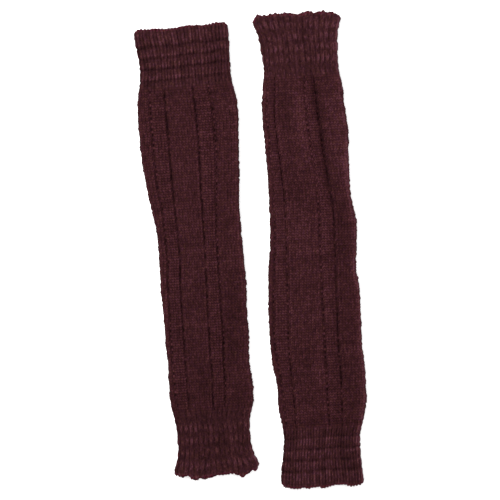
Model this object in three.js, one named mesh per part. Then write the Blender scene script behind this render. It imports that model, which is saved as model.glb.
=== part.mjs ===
// A pair of ribbed knit leg warmers, laid flat side by side.
//
// Each one is a knitted tube in three stretches: a knee cuff in fine rib, a leg in plain panels
// parted by sunk purl columns, and an ankle cuff in broad rib with a rippled edge. The tubes lie
// flat, so each is a thin closed wall round a low slit. The left one has its knee at the top. The
// right one is laid the other way round, with its ankle at the top.
//
// Each leg warmer is drawn in a frame of its own: +X across, +Y from the ankle to the knee and
// +Z up from the surface that it lies on. All sizes are in millimetres.
import * as THREE from 'three';

// The cloth, and the slit that is left inside a tube pressed flat.
const LEG_WALL = 2.2;
const CUFF_WALL = 2.6;
const FOLD_WALL = 2.8;
const SLIT_HEIGHT = 0.8;
const SEAM_GAP = 0.3;

// The sunk columns of the leg.
const GROOVE_HALF_WIDTH = 1.7;
const GROOVE_DEPTH = 1.1;
const PANEL_CROWN = 0.35;
const PANEL_CROWN_SHARES = [1 / 3, 2 / 3];
const LEG_RING_SPACING = 11;

// The knee cuff's rib, with rows of elastic yarn that pinch it.
const KNEE_RIBS = 26;
const KNEE_RIB_HEIGHT = 0.9;
const KNEE_SHALLOW_VALLEY = 0.45;
const KNEE_PUFF = 0.7;
const KNEE_PUFF_STEPS = [
  { share: 0, height: 0 },
  { share: 0.22, height: 1 },
  { share: 0.62, height: 0.55 },
];
const KNEE_SEAM_PUFF = 0.5;
const KNEE_EDGE_PUFF = 0.3;

// The ankle cuff's rib, and the ripple of its free edge.
const ANKLE_RIBS = 14;
const ANKLE_RIB_HEIGHT = 1.1;
const ANKLE_RIB_SHOULDER = 0.28;
const ANKLE_PUFF = 0.7;
const ANKLE_SEAM_PUFF = 0.4;
const ANKLE_FLARE_PUFF = 0.3;
const ANKLE_EDGE_PUFF = 0.2;
const EDGE_RIPPLES = 5;
const EDGE_RIPPLE_LIFT = 1.1;
const RIPPLE_REACH = 14;
const EDGE_REACH = 45;

// Points round each section.
const UNDERSIDE_STEPS = 6;
const SIDE_ANGLES = [-45, 0, 45];
const SLIT_STEPS = 7;
const SLIT_RINGS = 2;

const YARN = { leg: 0x3c1f23, cuff: 0x40232a, roughness: 0.95, metalness: 0 };

// Each leg warmer's outline is the left and right fold edge at each y, with the height of the top
// face. Its grooves are the x of the four sunk columns that show, at each y. Its edges give how
// far the free edge runs past or short of the cuff's end, at each place across: -1 is the left
// fold and 1 the right one. Folds are soft troughs, or ridges where the depth is negative. A puff
// is a share of the cuff's full height between the rows that pinch it.
const LEFT = {
  name: 'left',
  place: { x: -59.9, y: -1.7, turn: 4.2 },
  kneeEnd: 255,
  kneeSeam: 187.3,
  kneeElastic: [196.5, 210, 222.5, 235],
  ankleSeam: -180,
  anklePuffs: [-200.3, -213.6, -227, -239.8],
  ankleEnd: -254,
  outline: [
    { y: 256, left: -53.0, right: 53.6, height: 6.0 },
    { y: 246, left: -54.2, right: 53.8, height: 6.0 },
    { y: 224, left: -51.4, right: 53.2, height: 5.9 },
    { y: 210, left: -50.4, right: 53.4, height: 5.8 },
    { y: 192, left: -52.2, right: 53.3, height: 5.6 },
    { y: 176, left: -54.5, right: 55.5, height: 5.6 },
    { y: 156, left: -55.8, right: 57.6, height: 5.9 },
    { y: 132, left: -55.9, right: 56.0, height: 5.7 },
    { y: 112, left: -55.2, right: 54.9, height: 5.6 },
    { y: 80, left: -52.2, right: 53.0, height: 5.8 },
    { y: 48, left: -47.4, right: 51.2, height: 5.6 },
    { y: 24, left: -44.1, right: 50.8, height: 5.5 },
    { y: -12, left: -43.4, right: 52.0, height: 5.7 },
    { y: -40, left: -44.2, right: 52.0, height: 5.6 },
    { y: -70, left: -43.0, right: 50.5, height: 5.5 },
    { y: -100, left: -43.2, right: 51.0, height: 5.6 },
    { y: -126, left: -41.8, right: 49.0, height: 5.5 },
    { y: -148, left: -43.1, right: 50.9, height: 5.8 },
    { y: -172, left: -42.0, right: 50.8, height: 5.6 },
    { y: -192, left: -39.3, right: 46.3, height: 5.6 },
    { y: -212, left: -38.0, right: 44.8, height: 5.8 },
    { y: -228, left: -39.0, right: 46.4, height: 5.9 },
    { y: -245, left: -44.0, right: 52.6, height: 6.0 },
    { y: -254, left: -45.0, right: 53.0, height: 6.0 },
  ],
  grooves: [
    { y: 187, x: [-40.4, -24.2, 8.6, 25.8] },
    { y: 163, x: [-41.3, -23.5, 9.9, 28.8] },
    { y: 130, x: [-40.8, -22.8, 10.8, 29.7] },
    { y: 88, x: [-39.8, -22.4, 10.0, 28.2] },
    { y: 45, x: [-35.6, -21.2, 9.4, 24.8] },
    { y: 3, x: [-34.0, -19.6, 9.2, 22.9] },
    { y: -50, x: [-35.8, -21.8, 7.9, 22.8] },
    { y: -105, x: [-36.8, -22.1, 6.6, 22.2] },
    { y: -147, x: [-36.6, -21.8, 6.5, 20.4] },
    { y: -180, x: [-34.8, -22.0, 5.8, 19.2] },
  ],
  folds: [
    { x: -1, y: -149, halfWidth: 7, halfLength: 17, depth: 0.8, lean: -0.2 },
    { x: 33, y: -86, halfWidth: 8, halfLength: 45, depth: 0.8, lean: 0.12 },
    { x: 3, y: -42, halfWidth: 9, halfLength: 12, depth: 0.5, lean: 0 },
    { x: 32, y: 146, halfWidth: 5, halfLength: 34, depth: 0.6, lean: 0 },
    { x: 18, y: 102, halfWidth: 6, halfLength: 38, depth: -0.5, lean: 0 },
    { x: -8, y: 66, halfWidth: 10, halfLength: 50, depth: -0.4, lean: 0 },
  ],
  kneeEdge: [
    { across: -1, shift: -3 },
    { across: -0.88, shift: -0.1 },
    { across: -0.4, shift: -1.2 },
    { across: -0.1, shift: -0.9 },
    { across: 0.16, shift: 1.2 },
    { across: 0.6, shift: 0.3 },
    { across: 0.82, shift: 2.3 },
    { across: 0.93, shift: 0.8 },
    { across: 1, shift: -2 },
  ],
  ankleEdge: [
    { across: -1, shift: 5 },
    { across: -0.89, shift: 2.4 },
    { across: -0.64, shift: 1.1 },
    { across: -0.52, shift: -2.5 },
    { across: -0.3, shift: -1.9 },
    { across: 0, shift: -0.3 },
    { across: 0.45, shift: 0.3 },
    { across: 0.58, shift: -3.3 },
    { across: 0.72, shift: -0.6 },
    { across: 0.83, shift: 3.9 },
    { across: 0.93, shift: 4.1 },
    { across: 1, shift: 9 },
  ],
};

const RIGHT = {
  name: 'right',
  place: { x: 67, y: 1.5, turn: 183.2 },
  kneeEnd: 269,
  kneeSeam: 202,
  kneeElastic: [213.3, 226.3, 238.8, 251],
  ankleSeam: -196,
  anklePuffs: [-215, -227, -239, -252],
  ankleEnd: -266.5,
  outline: [
    { y: 269, left: -47.4, right: 47.6, height: 6.0 },
    { y: 252, left: -46.4, right: 46.8, height: 6.0 },
    { y: 236, left: -45.6, right: 44.2, height: 5.9 },
    { y: 214, left: -46.2, right: 41.5, height: 5.8 },
    { y: 196, left: -50.1, right: 42.2, height: 5.6 },
    { y: 172, left: -54.8, right: 44.9, height: 5.8 },
    { y: 152, left: -54.7, right: 44.9, height: 5.6 },
    { y: 140, left: -55.3, right: 46.8, height: 5.6 },
    { y: 112, left: -53.1, right: 49.8, height: 5.7 },
    { y: 80, left: -53.8, right: 50.2, height: 5.6 },
    { y: 44, left: -53.3, right: 48.8, height: 5.8 },
    { y: 24, left: -51.0, right: 48.0, height: 5.5 },
    { y: 2, left: -53.2, right: 44.6, height: 5.6 },
    { y: -34, left: -53.4, right: 42.8, height: 5.9 },
    { y: -64, left: -49.1, right: 42.2, height: 6.1 },
    { y: -100, left: -49.8, right: 42.8, height: 6.4 },
    { y: -130, left: -51.1, right: 43.9, height: 6.5 },
    { y: -160, left: -48.4, right: 44.9, height: 6.4 },
    { y: -184, left: -47.4, right: 42.3, height: 6.2 },
    { y: -200, left: -44.8, right: 40.9, height: 6.0 },
    { y: -224, left: -44.7, right: 42.4, height: 5.9 },
    { y: -244, left: -46.0, right: 45.2, height: 6.0 },
    { y: -258, left: -49.8, right: 50.4, height: 6.0 },
    { y: -266, left: -50.6, right: 51.2, height: 6.0 },
  ],
  grooves: [
    { y: 202, x: [-26.2, -11.8, 26.4, 36.8] },
    { y: 160, x: [-28.0, -11.7, 27.4, 38.2] },
    { y: 133, x: [-27.6, -11.8, 28.8, 41.4] },
    { y: 105, x: [-27.0, -11.9, 29.2, 44.4] },
    { y: 50, x: [-27.8, -12.0, 27.2, 43.2] },
    { y: -8, x: [-29.2, -12.7, 25.5, 38.2] },
    { y: -48, x: [-29.0, -13.4, 25.4, 36.8] },
    { y: -84, x: [-24.9, -11.6, 26.7, 36.6] },
    { y: -124, x: [-20.6, -7.3, 29.8, 38.2] },
    { y: -160, x: [-17.6, -5.4, 31.0, 38.8] },
    { y: -196, x: [-15.5, -5.5, 28.6, 35.2] },
  ],
  folds: [
    { x: -21.4, y: -128, halfWidth: 3.8, halfLength: 70, depth: 1.3, lean: -0.09 },
    { x: 0.3, y: -141, halfWidth: 5.5, halfLength: 48, depth: -0.8, lean: -0.06 },
    { x: 19.5, y: -154, halfWidth: 6, halfLength: 24, depth: 0.8, lean: -0.18 },
    { x: -40, y: -146, halfWidth: 8, halfLength: 46, depth: -0.5, lean: 0 },
    { x: -43, y: 4, halfWidth: 12, halfLength: 12, depth: 0.6, lean: 0 },
    { x: -40, y: 176, halfWidth: 8, halfLength: 28, depth: 0.6, lean: 0.1 },
  ],
  kneeEdge: [
    { across: -1, shift: -3.5 },
    { across: -0.9, shift: 0.4 },
    { across: -0.65, shift: 1.1 },
    { across: -0.53, shift: -1.4 },
    { across: -0.2, shift: 0 },
    { across: 0, shift: 1.5 },
    { across: 0.1, shift: 0.4 },
    { across: 0.3, shift: 1.2 },
    { across: 0.62, shift: 0.6 },
    { across: 0.88, shift: -1.2 },
    { across: 1, shift: -6 },
  ],
  ankleEdge: [
    { across: -1, shift: 7.5 },
    { across: -0.94, shift: 3.6 },
    { across: -0.68, shift: 0.1 },
    { across: -0.45, shift: 0.1 },
    { across: -0.26, shift: -1.4 },
    { across: -0.1, shift: 0.8 },
    { across: 0.05, shift: -0.5 },
    { across: 0.38, shift: -1.5 },
    { across: 0.55, shift: 0 },
    { across: 0.88, shift: 0.9 },
    { across: 1, shift: 7 },
  ],
};

// Rows and curves.

function lerp(a, b, share) {
  return a + (b - a) * share;
}

function smoothRow(rows, key, at, column) {
  // A smooth curve through the rows' values, where at is measured down the key column.
  const rising = [...rows].sort((a, b) => a[key] - b[key]);
  const last = rising.length - 1;
  const spot = THREE.MathUtils.clamp(at, rising[0][key], rising[last][key]);
  let i = 0;
  while (i < last - 1 && spot > rising[i + 1][key]) i += 1;
  const [before, from, to, after] = [i - 1, i, i + 1, i + 2]
    .map((n) => rising[THREE.MathUtils.clamp(n, 0, last)]);
  const span = to[key] - from[key];
  const share = (spot - from[key]) / span;
  const slopeFrom = span * (column(to) - column(before)) / (to[key] - before[key]);
  const slopeTo = span * (column(after) - column(from)) / (after[key] - from[key]);
  const bend = [
    2 * share ** 3 - 3 * share ** 2 + 1,
    share ** 3 - 2 * share ** 2 + share,
    3 * share ** 2 - 2 * share ** 3,
    share ** 3 - share ** 2,
  ];
  return bend[0] * column(from) + bend[1] * slopeFrom + bend[2] * column(to) + bend[3] * slopeTo;
}

function foldDepth(warmer, x, y) {
  // How far the soft folds sink the top face at a place, falling away round each fold's line.
  return warmer.folds.reduce((sum, fold) => {
    const along = (y - fold.y) / fold.halfLength;
    const off = (x - fold.x - fold.lean * (y - fold.y)) / fold.halfWidth;
    return sum + fold.depth * Math.exp(-(off ** 2) - along ** 4);
  }, 0);
}

function edgeShift(warmer, across, y) {
  // How far a place across the tube is drawn along it, near the free edges.
  const kneeShare = THREE.MathUtils.clamp(1 - (warmer.kneeEnd - y) / EDGE_REACH, 0, 1);
  const ankleShare = THREE.MathUtils.clamp(1 - (y - warmer.ankleEnd) / EDGE_REACH, 0, 1);
  const knee = smoothRow(warmer.kneeEdge, 'across', across, (row) => row.shift);
  const ankle = smoothRow(warmer.ankleEdge, 'across', across, (row) => row.shift);
  return knee * kneeShare ** 3 + ankle * ankleShare ** 3;
}

function foldEdges(warmer, y) {
  // The two fold edges and the height of the top face of the section at y.
  const leftY = y + edgeShift(warmer, -1, y);
  const rightY = y + edgeShift(warmer, 1, y);
  return {
    left: smoothRow(warmer.outline, 'y', leftY, (row) => row.left),
    right: smoothRow(warmer.outline, 'y', rightY, (row) => row.right),
    height: smoothRow(warmer.outline, 'y', y, (row) => row.height),
  };
}

// Sections. A loop runs anticlockwise seen from the ankle: along the underside to the right, up
// the right fold, back along the top face and down the left fold. Each point's turn is the number
// of those four stretches before it, plus its share of its own, and pairs up two loops' points.

function placed(warmer, y, x, z, turn) {
  const { left, right } = foldEdges(warmer, y);
  const across = THREE.MathUtils.clamp((x - left) / (right - left) * 2 - 1, -1, 1);
  return { point: new THREE.Vector3(x, y + edgeShift(warmer, across, y), z), turn };
}

function outerLoop(warmer, y, sink, topFace) {
  // The whole section sinks where elastic yarn pinches it. topFace gives the stations of the top
  // face from left to right: an x and its height.
  const { left, right, height: fullHeight } = foldEdges(warmer, y);
  const height = fullHeight - sink;
  const fold = height / 2;
  const loop = [];
  for (let i = 0; i < UNDERSIDE_STEPS; i += 1) {
    const share = i / UNDERSIDE_STEPS;
    loop.push(placed(warmer, y, lerp(left + fold, right - fold, share), 0, share));
  }
  loop.push(placed(warmer, y, right - fold, 0, 1));
  SIDE_ANGLES.forEach((degrees, i) => {
    const angle = THREE.MathUtils.degToRad(degrees);
    const turn = 1 + (i + 1) / (SIDE_ANGLES.length + 1);
    loop.push(placed(warmer, y, right - fold + fold * Math.cos(angle), fold * (1 + Math.sin(angle)), turn));
  });
  const stations = topFace(left + fold, right - fold, height, y);
  const span = stations.at(-1).x - stations[0].x;
  for (const station of stations.toReversed()) {
    const share = (stations.at(-1).x - station.x) / span;
    loop.push(placed(warmer, y, station.x, station.z, 2 + share));
  }
  SIDE_ANGLES.toReversed().forEach((degrees, i) => {
    const angle = THREE.MathUtils.degToRad(degrees);
    const turn = 3 + (i + 1) / (SIDE_ANGLES.length + 1);
    loop.push(placed(warmer, y, left + fold - fold * Math.cos(angle), fold * (1 + Math.sin(angle)), turn));
  });
  return loop;
}

function slitLoop(warmer, y, wall) {
  // The low slit inside the tube, plain all round.
  const { left, right } = foldEdges(warmer, y);
  const low = wall;
  const high = wall + SLIT_HEIGHT;
  const tip = SLIT_HEIGHT / 2;
  const from = left + FOLD_WALL + tip;
  const to = right - FOLD_WALL - tip;
  const loop = [];
  for (let i = 0; i <= SLIT_STEPS; i += 1) {
    loop.push(placed(warmer, y, lerp(from, to, i / SLIT_STEPS), low, i / SLIT_STEPS));
  }
  loop.push(placed(warmer, y, to + tip, low + tip, 1.5));
  for (let i = 0; i <= SLIT_STEPS; i += 1) {
    loop.push(placed(warmer, y, lerp(to, from, i / SLIT_STEPS), high, 2 + i / SLIT_STEPS));
  }
  loop.push(placed(warmer, y, from - tip, low + tip, 3.5));
  return loop;
}

// Closed walls.

function joinLoops(indices, ringA, ringB, flip) {
  // Two loops of like points, joined by a band of triangles.
  for (let i = 0; i < ringA.length; i += 1) {
    const j = (i + 1) % ringA.length;
    const quads = [[ringA[i], ringA[j], ringB[j]], [ringA[i], ringB[j], ringB[i]]];
    for (const [a, b, c] of quads) indices.push(...(flip ? [a, c, b] : [a, b, c]));
  }
}

function joinEnds(indices, outer, inner, flip) {
  // The end of a wall: a band between two loops of unlike points, stepped on by their turns.
  let i = 0;
  let j = 0;
  while (i < outer.length || j < inner.length) {
    const nextOuter = i < outer.length ? (outer[i + 1]?.turn ?? 4) : Infinity;
    const nextInner = j < inner.length ? (inner[j + 1]?.turn ?? 4) : Infinity;
    const a = outer[i % outer.length].index;
    const b = inner[j % inner.length].index;
    let c;
    if (nextOuter <= nextInner) {
      i += 1;
      c = outer[i % outer.length].index;
    } else {
      j += 1;
      c = inner[j % inner.length].index;
    }
    indices.push(...(flip ? [a, b, c] : [a, c, b]));
  }
}

function wallGeometry(outerLoops, slitLoops) {
  // A closed tube wall. Its loops run from the ankle side to the knee side.
  const positions = [];
  const indices = [];
  const numbered = (loop) => loop.map(({ point, turn }) => {
    positions.push(point.x, point.y, point.z);
    return { index: positions.length / 3 - 1, turn };
  });
  const outer = outerLoops.map(numbered);
  const slit = slitLoops.map(numbered);
  const numbers = (loop) => loop.map((point) => point.index);
  for (let i = 0; i + 1 < outer.length; i += 1) {
    joinLoops(indices, numbers(outer[i]), numbers(outer[i + 1]), true);
  }
  for (let i = 0; i + 1 < slit.length; i += 1) {
    joinLoops(indices, numbers(slit[i]), numbers(slit[i + 1]), false);
  }
  joinEnds(indices, outer[0], slit[0], false);
  joinEnds(indices, outer.at(-1), slit.at(-1), true);
  const geometry = new THREE.BufferGeometry();
  geometry.setAttribute('position', new THREE.Float32BufferAttribute(positions, 3));
  geometry.setIndex(indices);
  geometry.computeVertexNormals();
  return geometry;
}

function evenSteps(from, to, steps) {
  return Array.from({ length: steps + 1 }, (_, i) => lerp(from, to, i / steps));
}

function piece(name, geometry, colour) {
  const yarn = new THREE.MeshStandardMaterial({
    color: colour,
    roughness: YARN.roughness,
    metalness: YARN.metalness,
  });
  const mesh = new THREE.Mesh(geometry, yarn);
  mesh.name = name;
  return mesh;
}

// The leg: crowned panels between sunk columns, with the soft folds of cloth that lies loosely.

function legTop(warmer) {
  return (from, to, height, y) => {
    const face = (x, sink) => ({ x, z: height - sink - foldDepth(warmer, x, y) });
    const columns = warmer.grooves[0].x.map(
      (_, i) => smoothRow(warmer.grooves, 'y', y, (row) => row.x[i]),
    );
    const stations = [face(from, 0)];
    let panelStart = from;
    for (const column of [...columns, null]) {
      const panelEnd = column === null ? to : column - GROOVE_HALF_WIDTH;
      for (const share of PANEL_CROWN_SHARES) {
        stations.push(face(lerp(panelStart, panelEnd, share), -PANEL_CROWN));
      }
      stations.push(face(panelEnd, 0));
      if (column === null) break;
      stations.push(face(column, GROOVE_DEPTH));
      panelStart = column + GROOVE_HALF_WIDTH;
      stations.push(face(panelStart, 0));
    }
    return stations;
  };
}

function leg(warmer) {
  const from = warmer.ankleSeam + SEAM_GAP / 2;
  const to = warmer.kneeSeam - SEAM_GAP / 2;
  const rings = evenSteps(from, to, Math.round((to - from) / LEG_RING_SPACING));
  const slits = evenSteps(from, to, Math.round((rings.length - 1) / SLIT_RINGS));
  const geometry = wallGeometry(
    rings.map((y) => outerLoop(warmer, y, 0, legTop(warmer))),
    slits.map((y) => slitLoop(warmer, y, LEG_WALL)),
  );
  return piece(`${warmer.name}_leg`, geometry, YARN.leg);
}

// The knee cuff: fine ribs, every second valley shallower, puffed between the elastic rows.

function kneeTop(from, to, height) {
  const stations = [];
  for (let i = 0; i <= 2 * KNEE_RIBS; i += 1) {
    const isCrest = i % 2 === 1;
    const isShallow = i % 4 === 2;
    const valley = isShallow ? KNEE_SHALLOW_VALLEY : KNEE_RIB_HEIGHT;
    stations.push({ x: lerp(from, to, i / (2 * KNEE_RIBS)), z: isCrest ? height : height - valley });
  }
  return stations;
}

function kneeCuff(warmer) {
  const bands = warmer.kneeElastic.map((y, i) => ({
    y,
    length: (warmer.kneeElastic[i + 1] ?? warmer.kneeEnd) - y,
  }));
  const seam = { y: warmer.kneeSeam + SEAM_GAP / 2, puff: KNEE_SEAM_PUFF };
  const free = { y: warmer.kneeEnd, puff: KNEE_EDGE_PUFF };
  const puffs = bands.flatMap(({ y, length }) => KNEE_PUFF_STEPS.map(
    (step) => ({ y: y + step.share * length, puff: step.height }),
  ));
  const geometry = wallGeometry(
    [seam, ...puffs, free].map(
      ({ y, puff }) => outerLoop(warmer, y, KNEE_PUFF * (1 - puff), kneeTop),
    ),
    evenSteps(seam.y, free.y, bands.length).map((y) => slitLoop(warmer, y, CUFF_WALL)),
  );
  return piece(`${warmer.name}_knee_cuff`, geometry, YARN.cuff);
}

// The ankle cuff: broad ribs with soft puffs, and a free edge that ripples up off the surface.

function ankleTop(warmer) {
  return (from, to, height, y) => {
    const ribWidth = (to - from) / ANKLE_RIBS;
    const nearEdge = THREE.MathUtils.clamp(1 - (y - warmer.ankleEnd) / RIPPLE_REACH, 0, 1);
    const stations = [];
    for (let i = 0; i < ANKLE_RIBS; i += 1) {
      stations.push({ x: from + i * ribWidth, sink: ANKLE_RIB_HEIGHT });
      stations.push({ x: from + (i + ANKLE_RIB_SHOULDER) * ribWidth, sink: 0 });
      stations.push({ x: from + (i + 1 - ANKLE_RIB_SHOULDER) * ribWidth, sink: 0 });
    }
    stations.push({ x: to, sink: ANKLE_RIB_HEIGHT });
    return stations.map(({ x, sink }) => {
      const wave = Math.sin((x - from) / (to - from) * EDGE_RIPPLES * Math.PI) ** 2;
      return { x, z: height - sink + EDGE_RIPPLE_LIFT * wave * nearEdge };
    });
  };
}

function ankleCuff(warmer) {
  const puffs = warmer.anklePuffs;
  const pitch = puffs[0] - puffs[1];
  const crests = puffs.map((y) => ({ y, puff: 1 }));
  const hollows = puffs.slice(1).map((y) => ({ y: y + pitch / 2, puff: 0 }));
  const seam = { y: warmer.ankleSeam - SEAM_GAP / 2, puff: ANKLE_SEAM_PUFF };
  const start = { y: puffs[0] + pitch / 2, puff: 0 };
  const flare = { y: lerp(puffs.at(-1), warmer.ankleEnd, 0.5), puff: ANKLE_FLARE_PUFF };
  const free = { y: warmer.ankleEnd, puff: ANKLE_EDGE_PUFF };
  const rings = [seam, start, ...crests, ...hollows, flare, free].sort((a, b) => a.y - b.y);
  const geometry = wallGeometry(
    rings.map(({ y, puff }) => outerLoop(warmer, y, ANKLE_PUFF * (1 - puff), ankleTop(warmer))),
    evenSteps(free.y, seam.y, puffs.length + 1).map((y) => slitLoop(warmer, y, CUFF_WALL)),
  );
  return piece(`${warmer.name}_ankle_cuff`, geometry, YARN.cuff);
}

function legWarmer(warmer) {
  const group = new THREE.Group();
  group.add(kneeCuff(warmer), leg(warmer), ankleCuff(warmer));
  group.position.set(warmer.place.x, warmer.place.y, 0);
  group.rotation.z = THREE.MathUtils.degToRad(warmer.place.turn);
  return group;
}

function centredOnItsBox(pair) {
  // The origin is on the surface, under the middle of the pair.
  const middle = new THREE.Box3().setFromObject(pair, true).getCenter(new THREE.Vector3());
  pair.position.set(-middle.x, -middle.y, 0);
  return pair;
}

const pair = new THREE.Group();
pair.add(legWarmer(LEFT), legWarmer(RIGHT));
export default centredOnItsBox(pair);
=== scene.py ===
# %% [markdown]
# A pair of ribbed knit leg warmers, laid flat
#
# Two knitted tubes lie side by side on a pale table, one with its knee at the top and the other
# turned round. Each has a knee cuff in fine rib, a leg of plain panels parted by sunk purl
# columns, and an ankle cuff in broad rib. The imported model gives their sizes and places. Here
# each of its six solids is replaced by a thin knitted shell with its stitches in real geometry.

import math
from functools import partial
from types import SimpleNamespace

import bpy
import numpy as np
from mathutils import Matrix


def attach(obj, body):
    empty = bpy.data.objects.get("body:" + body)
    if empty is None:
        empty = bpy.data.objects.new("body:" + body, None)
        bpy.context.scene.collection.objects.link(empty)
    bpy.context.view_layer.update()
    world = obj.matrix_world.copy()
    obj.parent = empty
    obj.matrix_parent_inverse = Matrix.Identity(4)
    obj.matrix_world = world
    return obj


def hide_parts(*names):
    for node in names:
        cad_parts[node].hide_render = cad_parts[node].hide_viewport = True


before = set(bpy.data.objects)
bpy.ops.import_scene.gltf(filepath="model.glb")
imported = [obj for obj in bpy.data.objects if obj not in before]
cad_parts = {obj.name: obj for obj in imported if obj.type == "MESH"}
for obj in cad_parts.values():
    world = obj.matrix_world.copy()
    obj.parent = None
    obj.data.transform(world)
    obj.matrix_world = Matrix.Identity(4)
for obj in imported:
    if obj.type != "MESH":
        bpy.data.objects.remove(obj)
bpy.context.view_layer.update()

# %% [markdown]
# The photo was taken from straight above, with no visible perspective. An orthographic camera
# would give that, and so does a long lens from high up, as a photographer would do it. Its focal
# length follows from how much of the table the square picture takes in.

# %% Set up the camera
MM = 0.001
PICTURE_SPAN = 565.2 * MM
CLOTH_TOP = 6 * MM
CAMERA_HEIGHT = 3.0
SENSOR_WIDTH = 36.0


def put(name, data):
    """Put a mesh, a lamp or a camera into the scene as an object."""
    thing = bpy.data.objects.new(name, data)
    bpy.context.scene.collection.objects.link(thing)
    return thing


camera_lens = bpy.data.cameras.new("camera_above")
camera_lens.sensor_width = SENSOR_WIDTH
camera_lens.lens = SENSOR_WIDTH * (CAMERA_HEIGHT - CLOTH_TOP) / PICTURE_SPAN
camera = put("camera_above", camera_lens)
camera.location = (0, 0, CAMERA_HEIGHT)
bpy.context.scene.camera = camera
print(f"camera with a {camera_lens.lens:.0f} mm lens, {CAMERA_HEIGHT} m up")

# %% [markdown]
# Cloth as dark as this shows its knit only where light grazes it. A large soft lamp at the upper
# left models the ribs. A weaker one at the right keeps the folds on that side from going black,
# and an even white sky fills the shadows, as a light tent does. Sun lamps could do the same, but
# these stand near, so the cloth gets a little darker towards the bottom right, as in the photo.

# %% Light the table
KEY_PLACE = (-1.9, 1.4, 1.7)
KEY_POWER = 143.0
FILL_PLACE = (2.0, -0.4, 1.6)
FILL_POWER = 16.0
LAMP_SIZE = 1.0
SKY_STRENGTH = 0.6


def add_lamp(name, place, power):
    """Hang a round soft lamp over the table, turned to shine at its middle."""
    light = bpy.data.lights.new(name, "AREA")
    light.shape = "DISK"
    light.size = LAMP_SIZE
    light.energy = power
    lamp = put(name, light)
    lamp.location = place
    lamp.rotation_euler = (-lamp.location).to_track_quat("-Z", "Y").to_euler()


add_lamp("key_lamp", KEY_PLACE, KEY_POWER)
add_lamp("fill_lamp", FILL_PLACE, FILL_POWER)
sky = bpy.data.worlds.new("light_tent")
bpy.context.scene.world = sky
sky.use_nodes = True
sky.node_tree.nodes["Background"].inputs["Color"].default_value = (1, 1, 1, 1)
sky.node_tree.nodes["Background"].inputs["Strength"].default_value = SKY_STRENGTH
bpy.context.scene.view_settings.view_transform = "Standard"
print("two soft lamps and an even sky")

# %% [markdown]
# Materials are built from nodes. One small helper adds a node, sets its fields and sockets, and
# links other nodes into it, so that each material reads as a short list. Colours are picked as
# sRGB hex values, as in a paint program, and Blender wants them linear.

# %% Helpers for materials
def linear(hex_colour):
    """A colour written as sRGB hex, turned to the linear values that Blender mixes."""
    channels = [int(hex_colour[i : i + 2], 16) / 255 for i in (1, 3, 5)]
    return [c / 12.92 if c <= 0.04045 else ((c + 0.055) / 1.055) ** 2.4 for c in channels] + [1]


def add_node(material, kind, settings=None, links=None):
    """Add a node, set its fields or sockets by name or number, and link outputs into it."""
    made = material.node_tree.nodes.new(kind)
    for name, value in (settings or {}).items():
        if isinstance(name, int) or name in made.inputs:
            made.inputs[name].default_value = value
        else:
            setattr(made, name, value)
    for name, source in (links or {}).items():
        material.node_tree.links.new(source, made.inputs[name])
    return made


def new_material(name):
    """An empty node material, ready for its nodes."""
    material = bpy.data.materials.new(name)
    material.use_nodes = True
    material.node_tree.nodes.clear()
    return material


print("dark aubergine in linear light:", [round(c, 4) for c in linear("#3c1f23")])

# %% [markdown]
# The table is only a stage. It is matt paper on a light table, which glows a little and drowns
# the cloth's own shadow, so that the ground comes out plain white as in the photo.

# %% Lay the table
PAPER_SIZE = 8.0
PAPER_DROP = 0.3 * MM
PAPER_GLOW = 0.5

paper = new_material("matt_white_paper")
paper_shader = add_node(
    paper,
    "ShaderNodeBsdfPrincipled",
    {
        "Base Color": linear("#f4f4f4"),
        "Roughness": 0.9,
        "Specular IOR Level": 0.2,
        "Emission Color": linear("#ffffff"),
        "Emission Strength": PAPER_GLOW,
    },
)
add_node(paper, "ShaderNodeOutputMaterial", links={"Surface": paper_shader.outputs[0]})
half = PAPER_SIZE / 2
table_mesh = bpy.data.meshes.new("table")
table_mesh.from_pydata(
    [(-half, -half, -PAPER_DROP), (half, -half, -PAPER_DROP),
     (half, half, -PAPER_DROP), (-half, half, -PAPER_DROP)],
    [],
    [(0, 1, 2, 3)],
)
table_mesh.materials.append(paper)
table = put("table", table_mesh)
print("a white table,", PAPER_SIZE, "m wide")
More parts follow.
